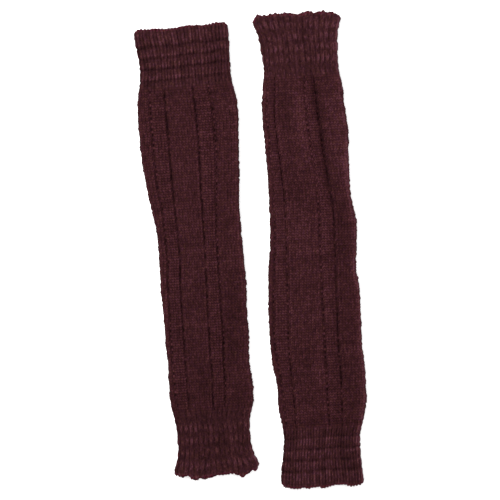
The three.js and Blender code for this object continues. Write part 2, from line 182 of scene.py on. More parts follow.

# %% [markdown]
# The shells have to lie where the imported solids lie, so their driving sizes are the same. They
# could be measured on the imported meshes, but a typed table says what each size is. Each leg warmer
# has a frame of its own in millimetres: x across, y from ankle to knee and z up. Its outline gives
# the left and right fold and the height at each y. Its grooves give the x of the four sunk columns
# that show, and their depths come next. Each free edge runs past or short of the cuff's end, at
# places across from -1 at the left fold to 1 at the right one. Folds are soft troughs, or ridges
# where the depth is negative, written as x, y, half width, half length, depth and lean.
#
# The other tables hold what the imported solids leave out. Each row is one soft mark, written as x,
# y, heading in degrees, half length, half width and strength. Creases sink the top face by their
# strength in millimetres, under creases hollow the underside, and the marks of wear, light and
# shade make the yarn's tone lighter, or darker where it is negative. Some of these marks are worn
# places, and many are painted light and painted shade. The knee row slope tilts the knee's
# elastic rows.
#
# Groove braids say how strongly the loops of each groove lean to and fro, like a braid. The
# painted fold light is the change of tone along the left and the right fold: painted light where
# it is positive and painted shade where it is negative. The last two values say from which wale,
# and for how many, the mesh is fine, because they lie on top or in a fold.

# %% Sizes of the left leg warmer
LEFT = {
    "name": "left",
    "place": (-59.9, -1.7),
    "turn": 4.2,
    "knee_end": 255,
    "knee_seam": 187.3,
    "knee_elastic": [196.5, 210, 222.5, 235],
    "ankle_seam": -180,
    "ankle_puffs": [-200.3, -213.6, -227, -239.8],
    "ankle_end": -254,
    "outline": [
        (256, -53.0, 53.6, 6.0), (246, -54.2, 53.8, 6.0), (224, -51.4, 53.2, 5.9),
        (210, -50.4, 53.4, 5.8), (192, -52.2, 53.3, 5.6), (176, -54.5, 55.5, 5.6),
        (156, -55.8, 57.6, 5.9), (132, -55.9, 56.0, 5.7), (112, -55.2, 54.9, 5.6),
        (80, -52.2, 53.0, 5.8), (48, -47.4, 51.2, 5.6), (24, -44.1, 50.8, 5.5),
        (-12, -43.4, 52.0, 5.7), (-40, -44.2, 52.0, 5.6), (-70, -43.0, 50.5, 5.5),
        (-100, -43.2, 51.0, 5.6), (-126, -41.8, 49.0, 5.5), (-148, -43.1, 50.9, 5.8),
        (-172, -42.0, 50.8, 5.6), (-192, -39.3, 46.3, 5.6), (-212, -38.0, 44.8, 5.8),
        (-228, -39.0, 46.4, 5.9), (-245, -44.0, 52.6, 6.0), (-254, -45.0, 53.0, 6.0),
    ],
    "grooves": [
        (187, -40.4, -24.2, 8.6, 25.8), (163, -41.3, -23.5, 9.9, 28.8),
        (130, -40.8, -22.8, 10.8, 29.7), (88, -39.8, -22.4, 10.0, 28.2),
        (45, -35.6, -21.2, 9.4, 24.8), (3, -34.0, -19.6, 9.2, 22.9),
        (-50, -35.8, -21.8, 7.9, 22.8), (-105, -36.8, -22.1, 6.6, 22.2),
        (-147, -36.6, -21.8, 6.5, 20.4), (-180, -34.8, -22.0, 5.8, 19.2),
    ],
    "groove_depths": [
        (188, 0.6, 1.3, 1.3, 0.8), (120, 0.8, 1.3, 1.3, 0.8), (60, 1.1, 1.2, 1.2, 0.8),
        (0, 1.1, 1.2, 1.0, 1.0), (-70, 1.0, 1.2, 1.1, 1.3), (-120, 0.7, 0.9, 1.1, 1.2),
        (-181, 0.6, 0.9, 1.3, 1.0),
    ],
    "groove_braids": (1.0, 0.4, 0.8, 1.0),
    "rubbed_folds": (-0.05, 0.19),
    "folds": [
        (-1, -149, 7, 17, 0.8, -0.2), (33, -86, 8, 45, 0.8, 0.12), (3, -42, 9, 12, 0.5, 0),
        (32, 146, 5, 34, 0.6, 0), (18, 102, 6, 38, -0.5, 0), (-8, 66, 10, 50, -0.4, 0),
    ],
    "creases": [
        (41, 62, 160, 13, 3, 0.5), (32, 46, 95, 20, 4, 0.4), (8, 77, 90, 8, 5, -0.5),
        (-10, -101, 0, 16, 2.5, 0.4), (37, -99, 15, 10, 5, -0.5), (34, -145, 60, 12, 5, -0.5),
        (29, -174, 5, 15, 5, 0.5), (38, -58, 105, 14, 6, 0.5), (-39, -80, 90, 26, 3, -0.3),
        (-8, 20, 75, 16, 5, 0.3), (12, -214, 92, 22, 3, 0.7), (-36, -206, 90, 13, 3, 0.5),
        (24, 190, 60, 7, 3, -0.4), (6, 191, 100, 7, 3, -0.4), (-6, 3, 3, 15, 3, 0.5),
    ],
    "under_creases": [
        (-14, 118, 82, 52, 5, 0.8), (22, 46, 104, 38, 4, 0.6), (-22, -64, 93, 44, 5, 0.7),
        (16, -128, 76, 30, 4, 0.8), (4, -18, 12, 22, 3, 0.5),
    ],
    "wear": [
        (38, 224, 90, 30, 14, -0.1), (-10, 222, 90, 30, 40, -0.03), (19, 96, 90, 42, 8, 0.02),
        (-8, 120, 90, 50, 14, 0.03), (40, -120, 90, 70, 12, -0.05), (-10, 10, 90, 60, 30, 0.03),
        (12, -214, 92, 26, 4, -0.1), (0, -150, 90, 60, 40, -0.04), (0, 90, 90, 160, 60, -0.04),
        (0, -222, 90, 30, 60, -0.02), (-31, 120, 90, 70, 7, -0.02),
        (-41, 178, 90, 16, 8, -0.06), (-33, -130, 90, 20, 5, -0.05), (23, -62, 90, 16, 5, -0.05),
        (41, -50, 90, 12, 7, 0.05), (33, -203, 0, 8, 6, 0.06), (29, 192, 0, 8, 5, -0.06),
        (45, 228, 90, 22, 6, 0.05), (1, -128, 60, 9, 6, 0.06), (-7, 50, 90, 12, 12, -0.04),
        (25, 14, 90, 9, 5, -0.05), (-20, -106, 0, 16, 6, -0.05), (-41, -60, 90, 55, 4, 0.06),
        (-48, 226, 90, 16, 5, -0.18), (44, 241, 90, 8, 6, 0.05),
        (43, 220, 90, 18, 6, 0.07), (0, 221, 0, 60, 40, 0.02), (0, -222, 0, 60, 40, -0.015),
        (-22, 200, 90, 12, 6, 0.05), (8, 43, 90, 12, 10, 0.05),
    ],
    "knee_row_slope": 0.035,
    "knee_edge": [
        (-1, -3), (-0.88, -0.1), (-0.4, -1.2), (-0.1, -0.9), (0.16, 1.2), (0.6, 0.3),
        (0.82, 2.3), (0.93, 0.8), (1, -2),
    ],
    "ankle_edge": [
        (-1, 5), (-0.89, 2.4), (-0.64, 1.1), (-0.52, -2.5), (-0.3, -1.9), (0, -0.3),
        (0.45, 0.3), (0.58, -3.3), (0.72, -0.6), (0.83, 3.9), (0.93, 4.1), (1, 9),
    ],
    "first_fine_wale": -5,
    "fine_wales": 35,
}
print("left leg warmer,", LEFT["knee_end"] - LEFT["ankle_end"], "mm long")

# %% [markdown]
# The right leg warmer is the same product, knitted a little longer and laid the other way round.
# It could be a turned copy of the left one, but it was pulled and laid down by itself, so its
# folds, its creases, its worn places and its painted light and shade are its own.

# %% Sizes of the right leg warmer
RIGHT = {
    "name": "right",
    "place": (67, 1.5),
    "turn": 183.2,
    "knee_end": 269,
    "knee_seam": 202,
    "knee_elastic": [213.3, 226.3, 238.8, 251],
    "ankle_seam": -196,
    "ankle_puffs": [-215, -227, -239, -252],
    "ankle_end": -266.5,
    "outline": [
        (269, -47.4, 47.6, 6.0), (252, -46.4, 46.8, 6.0), (236, -45.6, 44.2, 5.9),
        (214, -46.2, 41.5, 5.8), (196, -50.1, 42.2, 5.6), (172, -54.8, 44.9, 5.8),
        (152, -54.7, 44.9, 5.6), (140, -55.3, 46.8, 5.6), (112, -53.1, 49.8, 5.7),
        (80, -53.8, 50.2, 5.6), (44, -53.3, 48.8, 5.8), (24, -51.0, 48.0, 5.5),
        (2, -53.2, 44.6, 5.6), (-34, -53.4, 42.8, 5.9), (-64, -49.1, 42.2, 6.1),
        (-100, -49.8, 42.8, 6.4), (-130, -51.1, 43.9, 6.5), (-160, -48.4, 44.9, 6.4),
        (-184, -47.4, 42.3, 6.2), (-200, -44.8, 40.9, 6.0), (-224, -44.7, 42.4, 5.9),
        (-244, -46.0, 45.2, 6.0), (-258, -49.8, 50.4, 6.0), (-266, -50.6, 51.2, 6.0),
    ],
    "grooves": [
        (202, -26.2, -11.8, 26.4, 36.8), (160, -28.0, -11.7, 27.4, 38.2),
        (133, -27.6, -11.8, 28.8, 41.4), (105, -27.0, -11.9, 29.2, 44.4),
        (50, -27.8, -12.0, 27.2, 43.2), (-8, -29.2, -12.7, 25.5, 38.2),
        (-48, -29.0, -13.4, 25.4, 36.8), (-84, -24.9, -11.6, 26.7, 36.6),
        (-124, -20.6, -7.3, 29.8, 38.2), (-160, -17.6, -5.4, 31.0, 38.8),
        (-196, -15.5, -5.5, 28.6, 35.2),
    ],
    "groove_depths": [
        (203, 1.1, 0.9, 1.0, 0.6), (120, 1.1, 1.0, 1.0, 0.6), (60, 1.1, 0.9, 0.8, 0.7),
        (0, 1.0, 0.8, 0.7, 0.7), (-60, 1.0, 0.7, 0.9, 0.6), (-120, 0.7, 0.5, 1.1, 0.6),
        (-197, 0.9, 0.5, 1.0, 0.6),
    ],
    "groove_braids": (0.5, 1.0, 0.9, 1.0),
    "rubbed_folds": (0.36, -0.06),
    "folds": [
        (-21.4, -128, 3.8, 70, 1.3, -0.09), (0.3, -141, 5.5, 48, -0.8, -0.06),
        (19.5, -154, 6, 24, 0.8, -0.18), (-40, -146, 8, 46, -0.5, 0),
        (-43, 4, 12, 12, 0.6, 0), (-40, 176, 8, 28, 0.6, 0.1),
    ],
    "creases": [
        (18, 13, 4, 26, 3, 0.6), (-43, 34, 30, 10, 2.5, 0.5), (-40, -32, 82, 22, 5, 0.6),
        (-34, 44, 96, 22, 4, 0.4), (6, -55, 170, 18, 4, 0.5), (-4, 150, 90, 18, 4, -0.5),
        (-5, 100, 0, 5, 4, -0.5), (-13, 75, 0, 5, 4, -0.4), (-47, 140, 85, 25, 5, -0.4),
        (37, -90, 90, 18, 3, -0.4), (-42, -84, 85, 22, 5, -0.4), (12, 78, 40, 14, 4, 0.3),
        (-8, -238, 91, 30, 3, 0.7), (-28, -250, 90, 14, 3, 0.4), (-26, 236, 90, 32, 4, 0.5),
        (0, 200, 1, 28, 2.5, 0.4), (10, 134, 0, 14, 3, 0.9),
    ],
    "under_creases": [
        (10, 126, 98, 50, 5, 0.8), (-24, 60, 74, 34, 4, 0.6), (14, -30, 88, 46, 5, 0.7),
        (-18, -140, 101, 34, 4, 0.8), (6, 4, 170, 24, 3, 0.5),
    ],
    "wear": [
        (-24, 234, 90, 32, 8, -0.1), (-20, -240, 90, 34, 30, 0.05), (20, 236, 90, 30, 20, 0.02),
        (8, -8, 90, 26, 12, 0.05), (12, -66, 90, 24, 14, -0.05), (-34, 100, 90, 80, 12, -0.05),
        (-40, -140, 90, 50, 10, 0.05), (1, -150, 88, 46, 5, 0.05),
        (20, 14, 0, 14, 8, -0.05), (16, -110, 90, 20, 8, -0.05), (-30, -70, 95, 30, 4, -0.05),
        (-8, -95, 90, 10, 6, 0.05), (-16, -238, 90, 8, 6, -0.05), (-7, -8, 90, 9, 7, 0.08),
        (-48, -90, 90, 22, 4, 0.16), (-45, -170, 90, 8, 5, -0.1), (29, -31, 90, 14, 8, 0.06),
        (-42, 250, 90, 22, 5, -0.16), (45, 94, 90, 14, 6, -0.09), (-10, -263, 0, 8, 4, 0.08),
        (44, -250, 90, 10, 5, -0.08),
        (-9, 66, 90, 12, 6, 0.05), (38, -160, 90, 34, 6, 0.05), (0, 0, 90, 240, 80, 0.015),
        (32, -216, 90, 14, 8, 0.05), (-37, 207, 90, 14, 8, 0.05), (-5, -119, 90, 14, 6, 0.05),
        (34, 163, 0, 22, 14, -0.05), (6, 142, 90, 26, 6, -0.05), (-21, -60, 90, 12, 6, -0.05),
        (0, 120, 0, 60, 60, -0.02), (20, -173, 90, 15, 5, -0.05), (-20, 60, 90, 110, 6, 0.03),
        (34, 0, 90, 200, 6, 0.05),
        (-18.5, -162, 95, 34, 4.5, -0.12), (-25, -100, 95, 30, 3.5, -0.06),
        (-4, 120, 90, 50, 5, 0.04), (-36, -30, 90, 40, 10, -0.06), (-26, 120, 90, 80, 5, -0.06),
    ],
    "knee_row_slope": 0.0,
    "knee_edge": [
        (-1, -3.5), (-0.9, 0.4), (-0.65, 1.1), (-0.53, -1.4), (-0.2, 0), (0, 1.5),
        (0.1, 0.4), (0.3, 1.2), (0.62, 0.6), (0.88, -1.2), (1, -6),
    ],
    "ankle_edge": [
        (-1, 7.5), (-0.94, 3.6), (-0.68, 0.1), (-0.45, 0.1), (-0.26, -1.4), (-0.1, 0.8),
        (0.05, -0.5), (0.38, -1.5), (0.55, 0), (0.88, 0.9), (1, 7),
    ],
    "first_fine_wale": -8,
    "fine_wales": 32,
}
print("right leg warmer,", RIGHT["knee_end"] - RIGHT["ankle_end"], "mm long")

# %% [markdown]
# Every size between two rows of a table lies on a smooth curve through them. A curve object could
# hold such a line, but here whole arrays go through these functions at once, since a knitted shell
# has about a hundred thousand points.

# %% Read the tables at any place
EDGE_REACH = 45
FOLD_FULLNESS = 1.3


def smooth_row(rows, column, at):
    """The values of one column of a table, on a smooth curve down its first column."""
    table_rows = np.array(sorted(rows), float)
    keys, values = table_rows[:, 0], table_rows[:, column]
    last = len(keys) - 1
    spot = np.clip(at, keys[0], keys[-1])
    start = np.searchsorted(keys[1:last], spot)
    before, end, after = np.maximum(start - 1, 0), start + 1, np.minimum(start + 2, last)
    span = keys[end] - keys[start]
    share = (spot - keys[start]) / span
    slope_start = span * (values[end] - values[before]) / (keys[end] - keys[before])
    slope_end = span * (values[after] - values[start]) / (keys[after] - keys[start])
    return (
        (2 * share**3 - 3 * share**2 + 1) * values[start]
        + (share**3 - 2 * share**2 + share) * slope_start
        + (3 * share**2 - 2 * share**3) * values[end]
        + (share**3 - share**2) * slope_end
    )


def fold_depth(folds, x, y):
    """How far the soft folds sink the cloth at each place."""
    depth = np.zeros_like(x)
    for middle_x, middle_y, half_width, half_length, strength, lean in folds:
        along = (y - middle_y) / half_length
        off = (x - middle_x - lean * (y - middle_y)) / half_width
        depth += strength * np.exp(-(off**2) - along**4)
    return depth


def soft_marks(marks, x, y):
    """The summed strength of soft marks at each place."""
    total = np.zeros_like(x)
    for middle_x, middle_y, heading, half_length, half_width, strength in marks:
        ahead_x, ahead_y = math.cos(math.radians(heading)), math.sin(math.radians(heading))
        along = (x - middle_x) * ahead_x + (y - middle_y) * ahead_y
        off = (y - middle_y) * ahead_x - (x - middle_x) * ahead_y
        total += strength * np.exp(-((along / half_length) ** 2) - (off / half_width) ** 2)
    return total


def sunk(warmer, x, y):
    """How far folds and creases sink the top face. Soft cloth folds deeper than the solids do."""
    return FOLD_FULLNESS * fold_depth(warmer["folds"], x, y) + soft_marks(warmer["creases"], x, y)


def edge_shift(warmer, across, y):
    """How far the uneven free edges draw the cloth along the tube, fading over EDGE_REACH."""
    knee_share = np.clip(1 - (warmer["knee_end"] - y) / EDGE_REACH, 0, 1)
    ankle_share = np.clip(1 - (y - warmer["ankle_end"]) / EDGE_REACH, 0, 1)
    knee = smooth_row(warmer["knee_edge"], 1, across)
    ankle = smooth_row(warmer["ankle_edge"], 1, across)
    return knee * knee_share**3 + ankle * ankle_share**3


def fold_edges(warmer, y):
    """The two fold edges and the height of the top face at each y."""
    left_y = y + edge_shift(warmer, np.full_like(y, -1), y)
    right_y = y + edge_shift(warmer, np.full_like(y, 1), y)
    outline = warmer["outline"]
    left, right = smooth_row(outline, 1, left_y), smooth_row(outline, 2, right_y)
    return left, right, smooth_row(outline, 3, y)


print("width of the left leg at y = 0:", np.diff(fold_edges(LEFT, np.array([0.0]))[:2], axis=0)[0])

# %% [markdown]
# A tube pressed flat has a section of four stretches: the top face, the right fold, the underside
# and the left fold. A place round it is a turn from 0 to 4, one for each stretch. The folds are
# half circles, so the angle of the cloth goes smoothly from 0 on the top to a half turn below.
# A cloth simulation could press a round tube flat, but then chance would place its creases.

# %% Place points round a flattened tube
def turn_at(arc, flat, side):
    """The turn at a length of cloth from the top face's left end. flat and side are stretches."""
    arc = arc % (2 * flat + 2 * side)
    return np.select(
        [arc < flat, arc < flat + side, arc < 2 * flat + side],
        [arc / flat, 1 + (arc - flat) / side, 2 + (arc - flat - side) / flat],
        3 + (arc - 2 * flat - side) / side,
    )


def on_section(left, right, radius, low, turn):
    """The x, the z and the angle of the cloth at a turn. Outwards is (sin angle, cos angle)."""
    stretch = np.floor(turn)
    share = turn - stretch
    flat = right - left - 2 * radius
    stretches = [stretch == 0, stretch == 1, stretch == 2]
    middle = np.select(
        stretches,
        [left + radius + flat * share, right - radius + 0 * share, right - radius - flat * share],
        left + radius,
    )
    angle = math.pi * np.select(stretches, [0 * share, share, 1 + 0 * share], 1 + share)
    return middle + radius * np.sin(angle), low + radius + radius * np.cos(angle), angle


def smooth_step(share):
    """Ease from 0 to 1."""
    share = np.clip(share, 0, 1)
    return share * share * (3 - 2 * share)


def between(start, end, share):
    """A value on the way from start to end."""
    return start + (end - start) * share


WANDER_WAVES = 9
WAVE_SPREAD = (0.4, 0.85)
FACES_APART = 12


def wander(place, size, seed):
    """A smooth random field, mostly within -1 and 1, whose bumps are about one size across.
    The z of a place counts FACES_APART times, so that the top and the underside differ."""
    rng = np.random.default_rng(seed)
    x, y, z = place
    total = np.zeros_like(x + y + z)
    for _ in range(WANDER_WAVES):
        heading = rng.normal(size=3)
        heading *= rng.uniform(*WAVE_SPREAD) * 2 * math.pi / size / np.linalg.norm(heading)
        along = x * heading[0] + y * heading[1] + FACES_APART * z * heading[2]
        total += np.sin(along + rng.uniform(0, 2 * math.pi))
    return total / math.sqrt(WANDER_WAVES)


print("helpers for sections are ready")

# %% [markdown]
# The stitches are the point of a knitted thing. In plain knitting each loop shows as a V, and
# the Vs stack into columns that knitters call wales, one V for each row or course. A bump texture
# could draw them, but the folds' outline and grazing light show real loops. The mesh follows them:
# its rows zigzag with the Vs, so four rows a course and four columns a wale are enough to draw
# every loop. This knit has about 33 courses and 27 wales to 10 cm.

# %% The height of one stitch
COURSE = 3.0
V_RISE = 0.75
LEG_STITCH = 0.62
CENTRE_VALLEY = 0.58
WALE_VALLEY = 0.2
LOOP_SHARE = 0.7
MEAN_STITCH = 0.55


def loop_along(course):
    """A yarn's rounded back along each course, 0 where two loops meet and 1 between."""
    return 1 - (2 * (course % 1) - 1) ** 2


def v_zigzag(across):
    """How far, in courses, a V has risen: none at its point and V_RISE at the wale's edges."""
    return V_RISE * np.abs(2 * across - 1)


def plain_stitch(across, course):
    """The height of plain knitting, from 0 to 1. across runs from 0 to 1 over a wale."""
    heights = [WALE_VALLEY, 1, CENTRE_VALLEY, 1, WALE_VALLEY]
    legs = np.interp(across, [0, 0.25, 0.5, 0.75, 1], heights)
    return legs * between(1 - LOOP_SHARE, 1, loop_along(course))


def by_loop(across_count, course_count, seed):
    """A function that gives each loop a number of its own from -1 to 1."""
    numbers = np.random.default_rng(seed).uniform(-1, 1, (course_count + 1, across_count))

    def number(loop, course):
        return numbers[np.floor(course).astype(int), np.floor(loop).astype(int) % across_count]

    return number


print(f"a loop is {COURSE} mm high, and stands up by {LEG_STITCH} mm")

# %% [markdown]
# Each shell is a grid of points bent into a tube: an outer wall with the stitches, a plain inner
# wall, and a band at each end that joins them. A Solidify modifier would copy every stitch to the
# inside, where it costs faces and doesn't show. Columns under the tube keep every second row, to
# save faces where the cloth rests on the table. At last a small shift centres the pair's box.

# %% Turn grids of points into a closed shell
PAIR_SHIFT = (0.325, -0.164)


def pair_place(warmer, points):
    """From a leg warmer's own frame in millimetres to the pair's frame in metres."""
    turn = math.radians(warmer["turn"])
    x = points[..., 0] * math.cos(turn) - points[..., 1] * math.sin(turn)
    y = points[..., 0] * math.sin(turn) + points[..., 1] * math.cos(turn)
    moved = [x + warmer["place"][0] + PAIR_SHIFT[0], y + warmer["place"][1] + PAIR_SHIFT[1]]
    return np.stack([*moved, points[..., 2]], -1) * MM


def fan(fine, coarse, reverse):
    """Triangles between a row of points and another that has fewer, evenly matched."""
    step = (len(fine) - 1) // (len(coarse) - 1)
    faces = []
    for i in range(len(coarse) - 1):
        first, middle = i * step, i * step + step // 2
        for j in range(first, first + step):
            faces.append((fine[j], fine[j + 1], coarse[i] if j < middle else coarse[i + 1]))
        faces.append((coarse[i], fine[middle], coarse[i + 1]))
    return [face[::-1] for face in faces] if reverse else faces


def strip(a, b, reverse):
    """Quads between two rows with the same number of points."""
    faces = np.stack([a[:-1], a[1:], b[1:], b[:-1]], -1).tolist()
    return [face[::-1] for face in faces] if reverse else faces


def shell_faces(outer_ids, inner_ids, sparse):
    """All faces of a closed shell. sparse marks the columns that keep every second row."""
    faces = []
    columns = outer_ids.shape[1]
    for c in range(columns):
        here, after = outer_ids[:, c], outer_ids[:, (c + 1) % columns]
        sparse_here, sparse_after = sparse[c], sparse[(c + 1) % columns]
        if sparse_here and sparse_after:
            faces += strip(here[::2], after[::2], False)
        elif sparse_here:
            faces += fan(after, here[::2], True)
        elif sparse_after:
            faces += fan(here, after[::2], False)
        else:
            faces += strip(here, after, False)
    closed = np.hstack([inner_ids, inner_ids[:, :1]])
    for row, after in zip(closed[:-1], closed[1:]):
        faces += strip(row, after, False)
    ring = np.hstack([outer_ids, outer_ids[:, :1]])
    faces += fan(ring[0], closed[0], False)
    faces += fan(ring[-1], closed[-1], True)
    return faces


print("shell helpers are ready")

# %% [markdown]
# The mesh also carries numbers for its material, stored on it as attributes. One is the tone of
# the yarn, from 0 to 1. It is painted shade low down in the hollows and painted highlight high on
# the raised, fuzzy loops, and besides each loop took the dye a little differently. The other is
# each point's place along the yarn, in millimetres, so that the twist of the plies can follow the
# loops. Textures painted on an unwrapped mesh could do this too, but numbers on its points fit
# each loop by themselves.

# %% Make a knitted piece
INSIDE_TONE = 0.3


def knitted_piece(name, warmer, outer, inner, sparse, tone, yarn_place, seam_rows, material):
    """A closed shell from its outer grid and its inner grid, with its attributes and material.
    seam_rows are the end rows that meet another piece, where the shading isn't rounded over."""
    rows, columns = outer.shape[:2]
    kept = np.ones((rows, columns), bool)
    kept[1::2, sparse] = False
    outer_ids = np.full((rows, columns), -1)
    outer_ids[kept] = np.arange(kept.sum())
    inner_ids = kept.sum() + np.arange(inner.shape[0] * inner.shape[1]).reshape(inner.shape[:2])
    points = np.vstack([outer[kept], inner.reshape(-1, 3)])
    mesh = bpy.data.meshes.new(name)
    faces = shell_faces(outer_ids, inner_ids, sparse)
    mesh.from_pydata(pair_place(warmer, points).tolist(), [], faces)
    inner_count = inner_ids.size
    add_attribute(mesh, "tone", np.append(tone[kept], np.full(inner_count, INSIDE_TONE)))
    padded_place = np.vstack([yarn_place[kept], np.zeros((inner_count, 3))])
    add_attribute(mesh, "yarn_place", padded_place)
    if signed_volume(mesh) < 0:
        mesh.flip_normals()
    mesh.shade_smooth()
    sharpen(mesh, np.concatenate([outer_ids[row] for row in seam_rows]))
    mesh.materials.append(material)
    piece = put(name, mesh)
    piece["outer_points"] = int(kept.sum())
    triangles = sum(len(face) - 2 for face in faces)
    print(f"{name}: {triangles} triangles, volume {signed_volume(mesh) * 1e6:.1f} cm3")
    return piece


def add_attribute(mesh, name, values):
    """Store a number or a vector for every point of a mesh."""
    kind, field = ("FLOAT", "value") if values.ndim == 1 else ("FLOAT_VECTOR", "vector")
    attribute = mesh.attributes.new(name, kind, "POINT")
    attribute.data.foreach_set(field, values.astype(np.float32).ravel())


def sharpen(mesh, ring):
    """Keep the shading apart on the two sides of a ring of points."""
    ends = np.empty(len(mesh.edges) * 2, int)
    mesh.edges.foreach_get("vertices", ends)
    in_ring = np.isin(ends.reshape(-1, 2), ring).all(1)
    mesh.attributes.new("sharp_edge", "BOOLEAN", "EDGE").data.foreach_set("value", in_ring)


def signed_volume(mesh):
    """The volume that a mesh closes in, which is negative if it is inside out."""
    mesh.calc_loop_triangles()
    corners = np.empty(len(mesh.loop_triangles) * 3, int)
    mesh.loop_triangles.foreach_get("vertices", corners)
    places = np.empty(len(mesh.vertices) * 3)
    mesh.vertices.foreach_get("co", places)
    a, b, c = places.reshape(-1, 3)[corners].reshape(-1, 3, 3).transpose(1, 0, 2)
    return float((np.cross(a, b) * c).sum() / 6)


print("pieces carry the attributes tone and yarn_place")

# %% [markdown]
# The yarn is a soft wool blend, spun from two plies, knitted and then worn a little. Short
# fibres stand off it and catch the light at grazing angles, which the shader's sheen gives. The
# colour is a dark aubergine that varies by loop. Its darkest colour, nearly black, is painted
# shade for the hollows, and its lightest is a painted highlight on the raised, fuzzy loops. Wool
# this dark has hardly any gloss, so its highlights are faint and take its own red. The blend's
# fibres took the dye unevenly, some browner and some more purple, so the hue wanders too.
#
# Three noises make the heather, the patches of hue and the matted fibres, each with a size in
# millimetres, a detail and a roughness. At scale 1 a wave texture repeats every 0.31 units, and
# its diagonal bands lie 1.4 times as far apart.

# %% Wool blend yarn
PLY_PITCH = 1.1
WAVE_PERIOD = 0.31
NOISES = {"heather": (1.1, 3.0, 0.6), "hue": (2.2, 4.0, 0.7), "fibres": (0.45, 4.0, 0.7)}
HEATHER_TONE = 0.78
HUE_SWING = 0.2
TONE_STOPS = (0.0, 0.5, 1.0)


def wool_blend_yarn(name, tones):
    """Knitted wool blend. tones: painted shade in hollows, the cloth, painted highlight on fuzz."""
    material = new_material(name)
    node = partial(add_node, material)
    place = node("ShaderNodeTexCoord").outputs["Object"]
    noise = {}
    for use, (size, detail, roughness) in NOISES.items():
        settings = {"Scale": 1 / (size * MM), "Detail": detail, "Roughness": roughness}
        noise[use] = node("ShaderNodeTexNoise", settings, {"Vector": place}).outputs["Fac"]
    tone = node("ShaderNodeAttribute", {"attribute_name": "tone"})
    heathered = node(
        "ShaderNodeMath",
        {"operation": "MULTIPLY_ADD", 1: HEATHER_TONE},
        {0: noise["heather"], 2: tone.outputs["Fac"]},
    )
    centred = node(
        "ShaderNodeMath",
        {"operation": "SUBTRACT", 1: HEATHER_TONE / 2, "use_clamp": True},
        {0: heathered.outputs[0]},
    )
    dye = node("ShaderNodeValToRGB", links={"Fac": centred.outputs[0]})
    stops = dye.color_ramp.elements
    stops.new(TONE_STOPS[1])
    for stop, at, tone_colour in zip(stops, TONE_STOPS, tones):
        stop.position = at
        stop.color = linear(tone_colour)
    hue_shift = node(
        "ShaderNodeMath",
        {"operation": "MULTIPLY_ADD", 1: HUE_SWING, 2: 0.5 - HUE_SWING / 2},
        {0: noise["hue"]},
    )
    links = {"Color": dye.outputs["Color"], "Hue": hue_shift.outputs[0]}
    blended = node("ShaderNodeHueSaturation", links=links)
    yarn_place = node("ShaderNodeAttribute", {"attribute_name": "yarn_place"})
    plies = node(
        "ShaderNodeTexWave",
        {"bands_direction": "DIAGONAL", "Scale": WAVE_PERIOD / PLY_PITCH, "Distortion": 1.2},
        {"Vector": yarn_place.outputs["Vector"]},
    )
    ply_bump = node(
        "ShaderNodeBump",
        {"Strength": 0.5, "Distance": 0.25 * MM},
        {"Height": plies.outputs["Fac"]},
    )
    fibre_bump = node(
        "ShaderNodeBump",
        {"Strength": 0.6, "Distance": 0.3 * MM},
        {"Height": noise["fibres"], "Normal": ply_bump.outputs["Normal"]},
    )
    shader = node(
        "ShaderNodeBsdfPrincipled",
        {
            "Roughness": 0.9,
            "IOR": 1.5,
            "Specular IOR Level": 0.08,
            "Specular Tint": linear("#b0606c"),
            "Sheen Weight": 0.14,
            "Sheen Roughness": 0.4,
            "Sheen Tint": linear("#c8405a"),
        },
        {"Base Color": blended.outputs["Color"], "Normal": fibre_bump.outputs["Normal"]},
    )
    node("ShaderNodeOutputMaterial", links={"Surface": shader.outputs[0]})
    return material


leg_yarn = wool_blend_yarn("wool_blend_leg", ("#130809", "#32181b", "#59333a"))
cuff_yarn = wool_blend_yarn("wool_blend_cuff", ("#130809", "#32191c", "#5b353d"))
# The cast-off colours are redder and lighter as painted light, for light shining through the thin
# edge.
edge_yarn_painted_light = wool_blend_yarn("wool_blend_cast_off_painted_light", ("#1a070a", "#40161f", "#702c3c"))
print("three dyed lots of the same yarn, for the legs, the cuffs and the cast-off edges")

# %% [markdown]
# A few more helpers shape every wall. The stitches stand out all round the tube, but puffs and
# folds move only its top face, since the underside rests flat on the table. Inside is a low slit
# with plain walls, where the foot would go in. It could be left solid, but its open ends show.

# %% Raise an outer wall
UNDER_WALL = 1.9
SLIT_HEIGHT = 0.5
OPEN_SLIT_HEIGHT = 1.7
OPEN_REACH = 20
TOP_WALL = 0.9
FOLD_WALL = 2.8
INNER_ROW_SPACING = 22
LEVEL_COSINE = 0.9


def wall_points(warmer, y, x, z):
    """Points of a wall, drawn along the tube by the uneven free edges."""
    left, right, _ = fold_edges(warmer, y)
    across = np.clip((x - left) / (right - left) * 2 - 1, -1, 1)
    return np.stack([x, y + edge_shift(warmer, across, y), z], -1)


def slit_points(warmer, y, turn):
    """Points of the slit inside the tube, which is low and opens a little at the free edges."""
    left, right, _ = fold_edges(warmer, y)
    from_edge = np.minimum(warmer["knee_end"] - y, y - warmer["ankle_end"])
    opened = (OPEN_SLIT_HEIGHT - SLIT_HEIGHT) * smooth_step(1 - from_edge / OPEN_REACH)
    radius = (SLIT_HEIGHT + opened) / 2
    x, z, _ = on_section(left + FOLD_WALL, right - FOLD_WALL, radius, UNDER_WALL, turn)
    return wall_points(warmer, y, x, z)


def inner_wall(warmer, y_from, y_to, turns):
    """The plain inner wall, whose columns lie at the given turns."""
    count = max(3, round(abs(y_to - y_from) / INNER_ROW_SPACING))
    y = np.linspace(y_from, y_to, count + 1)[:, None] + 0 * turns[None, :]
    return slit_points(warmer, y, turns[None, :] + 0 * y)


def section_place(warmer, y, turn):
    """A place on the plain section, with the angle of the cloth there."""
    left, right, height = fold_edges(warmer, y)
    x, z, angle = on_section(left, right, height / 2, 0, turn)
    return (x, y, z), angle


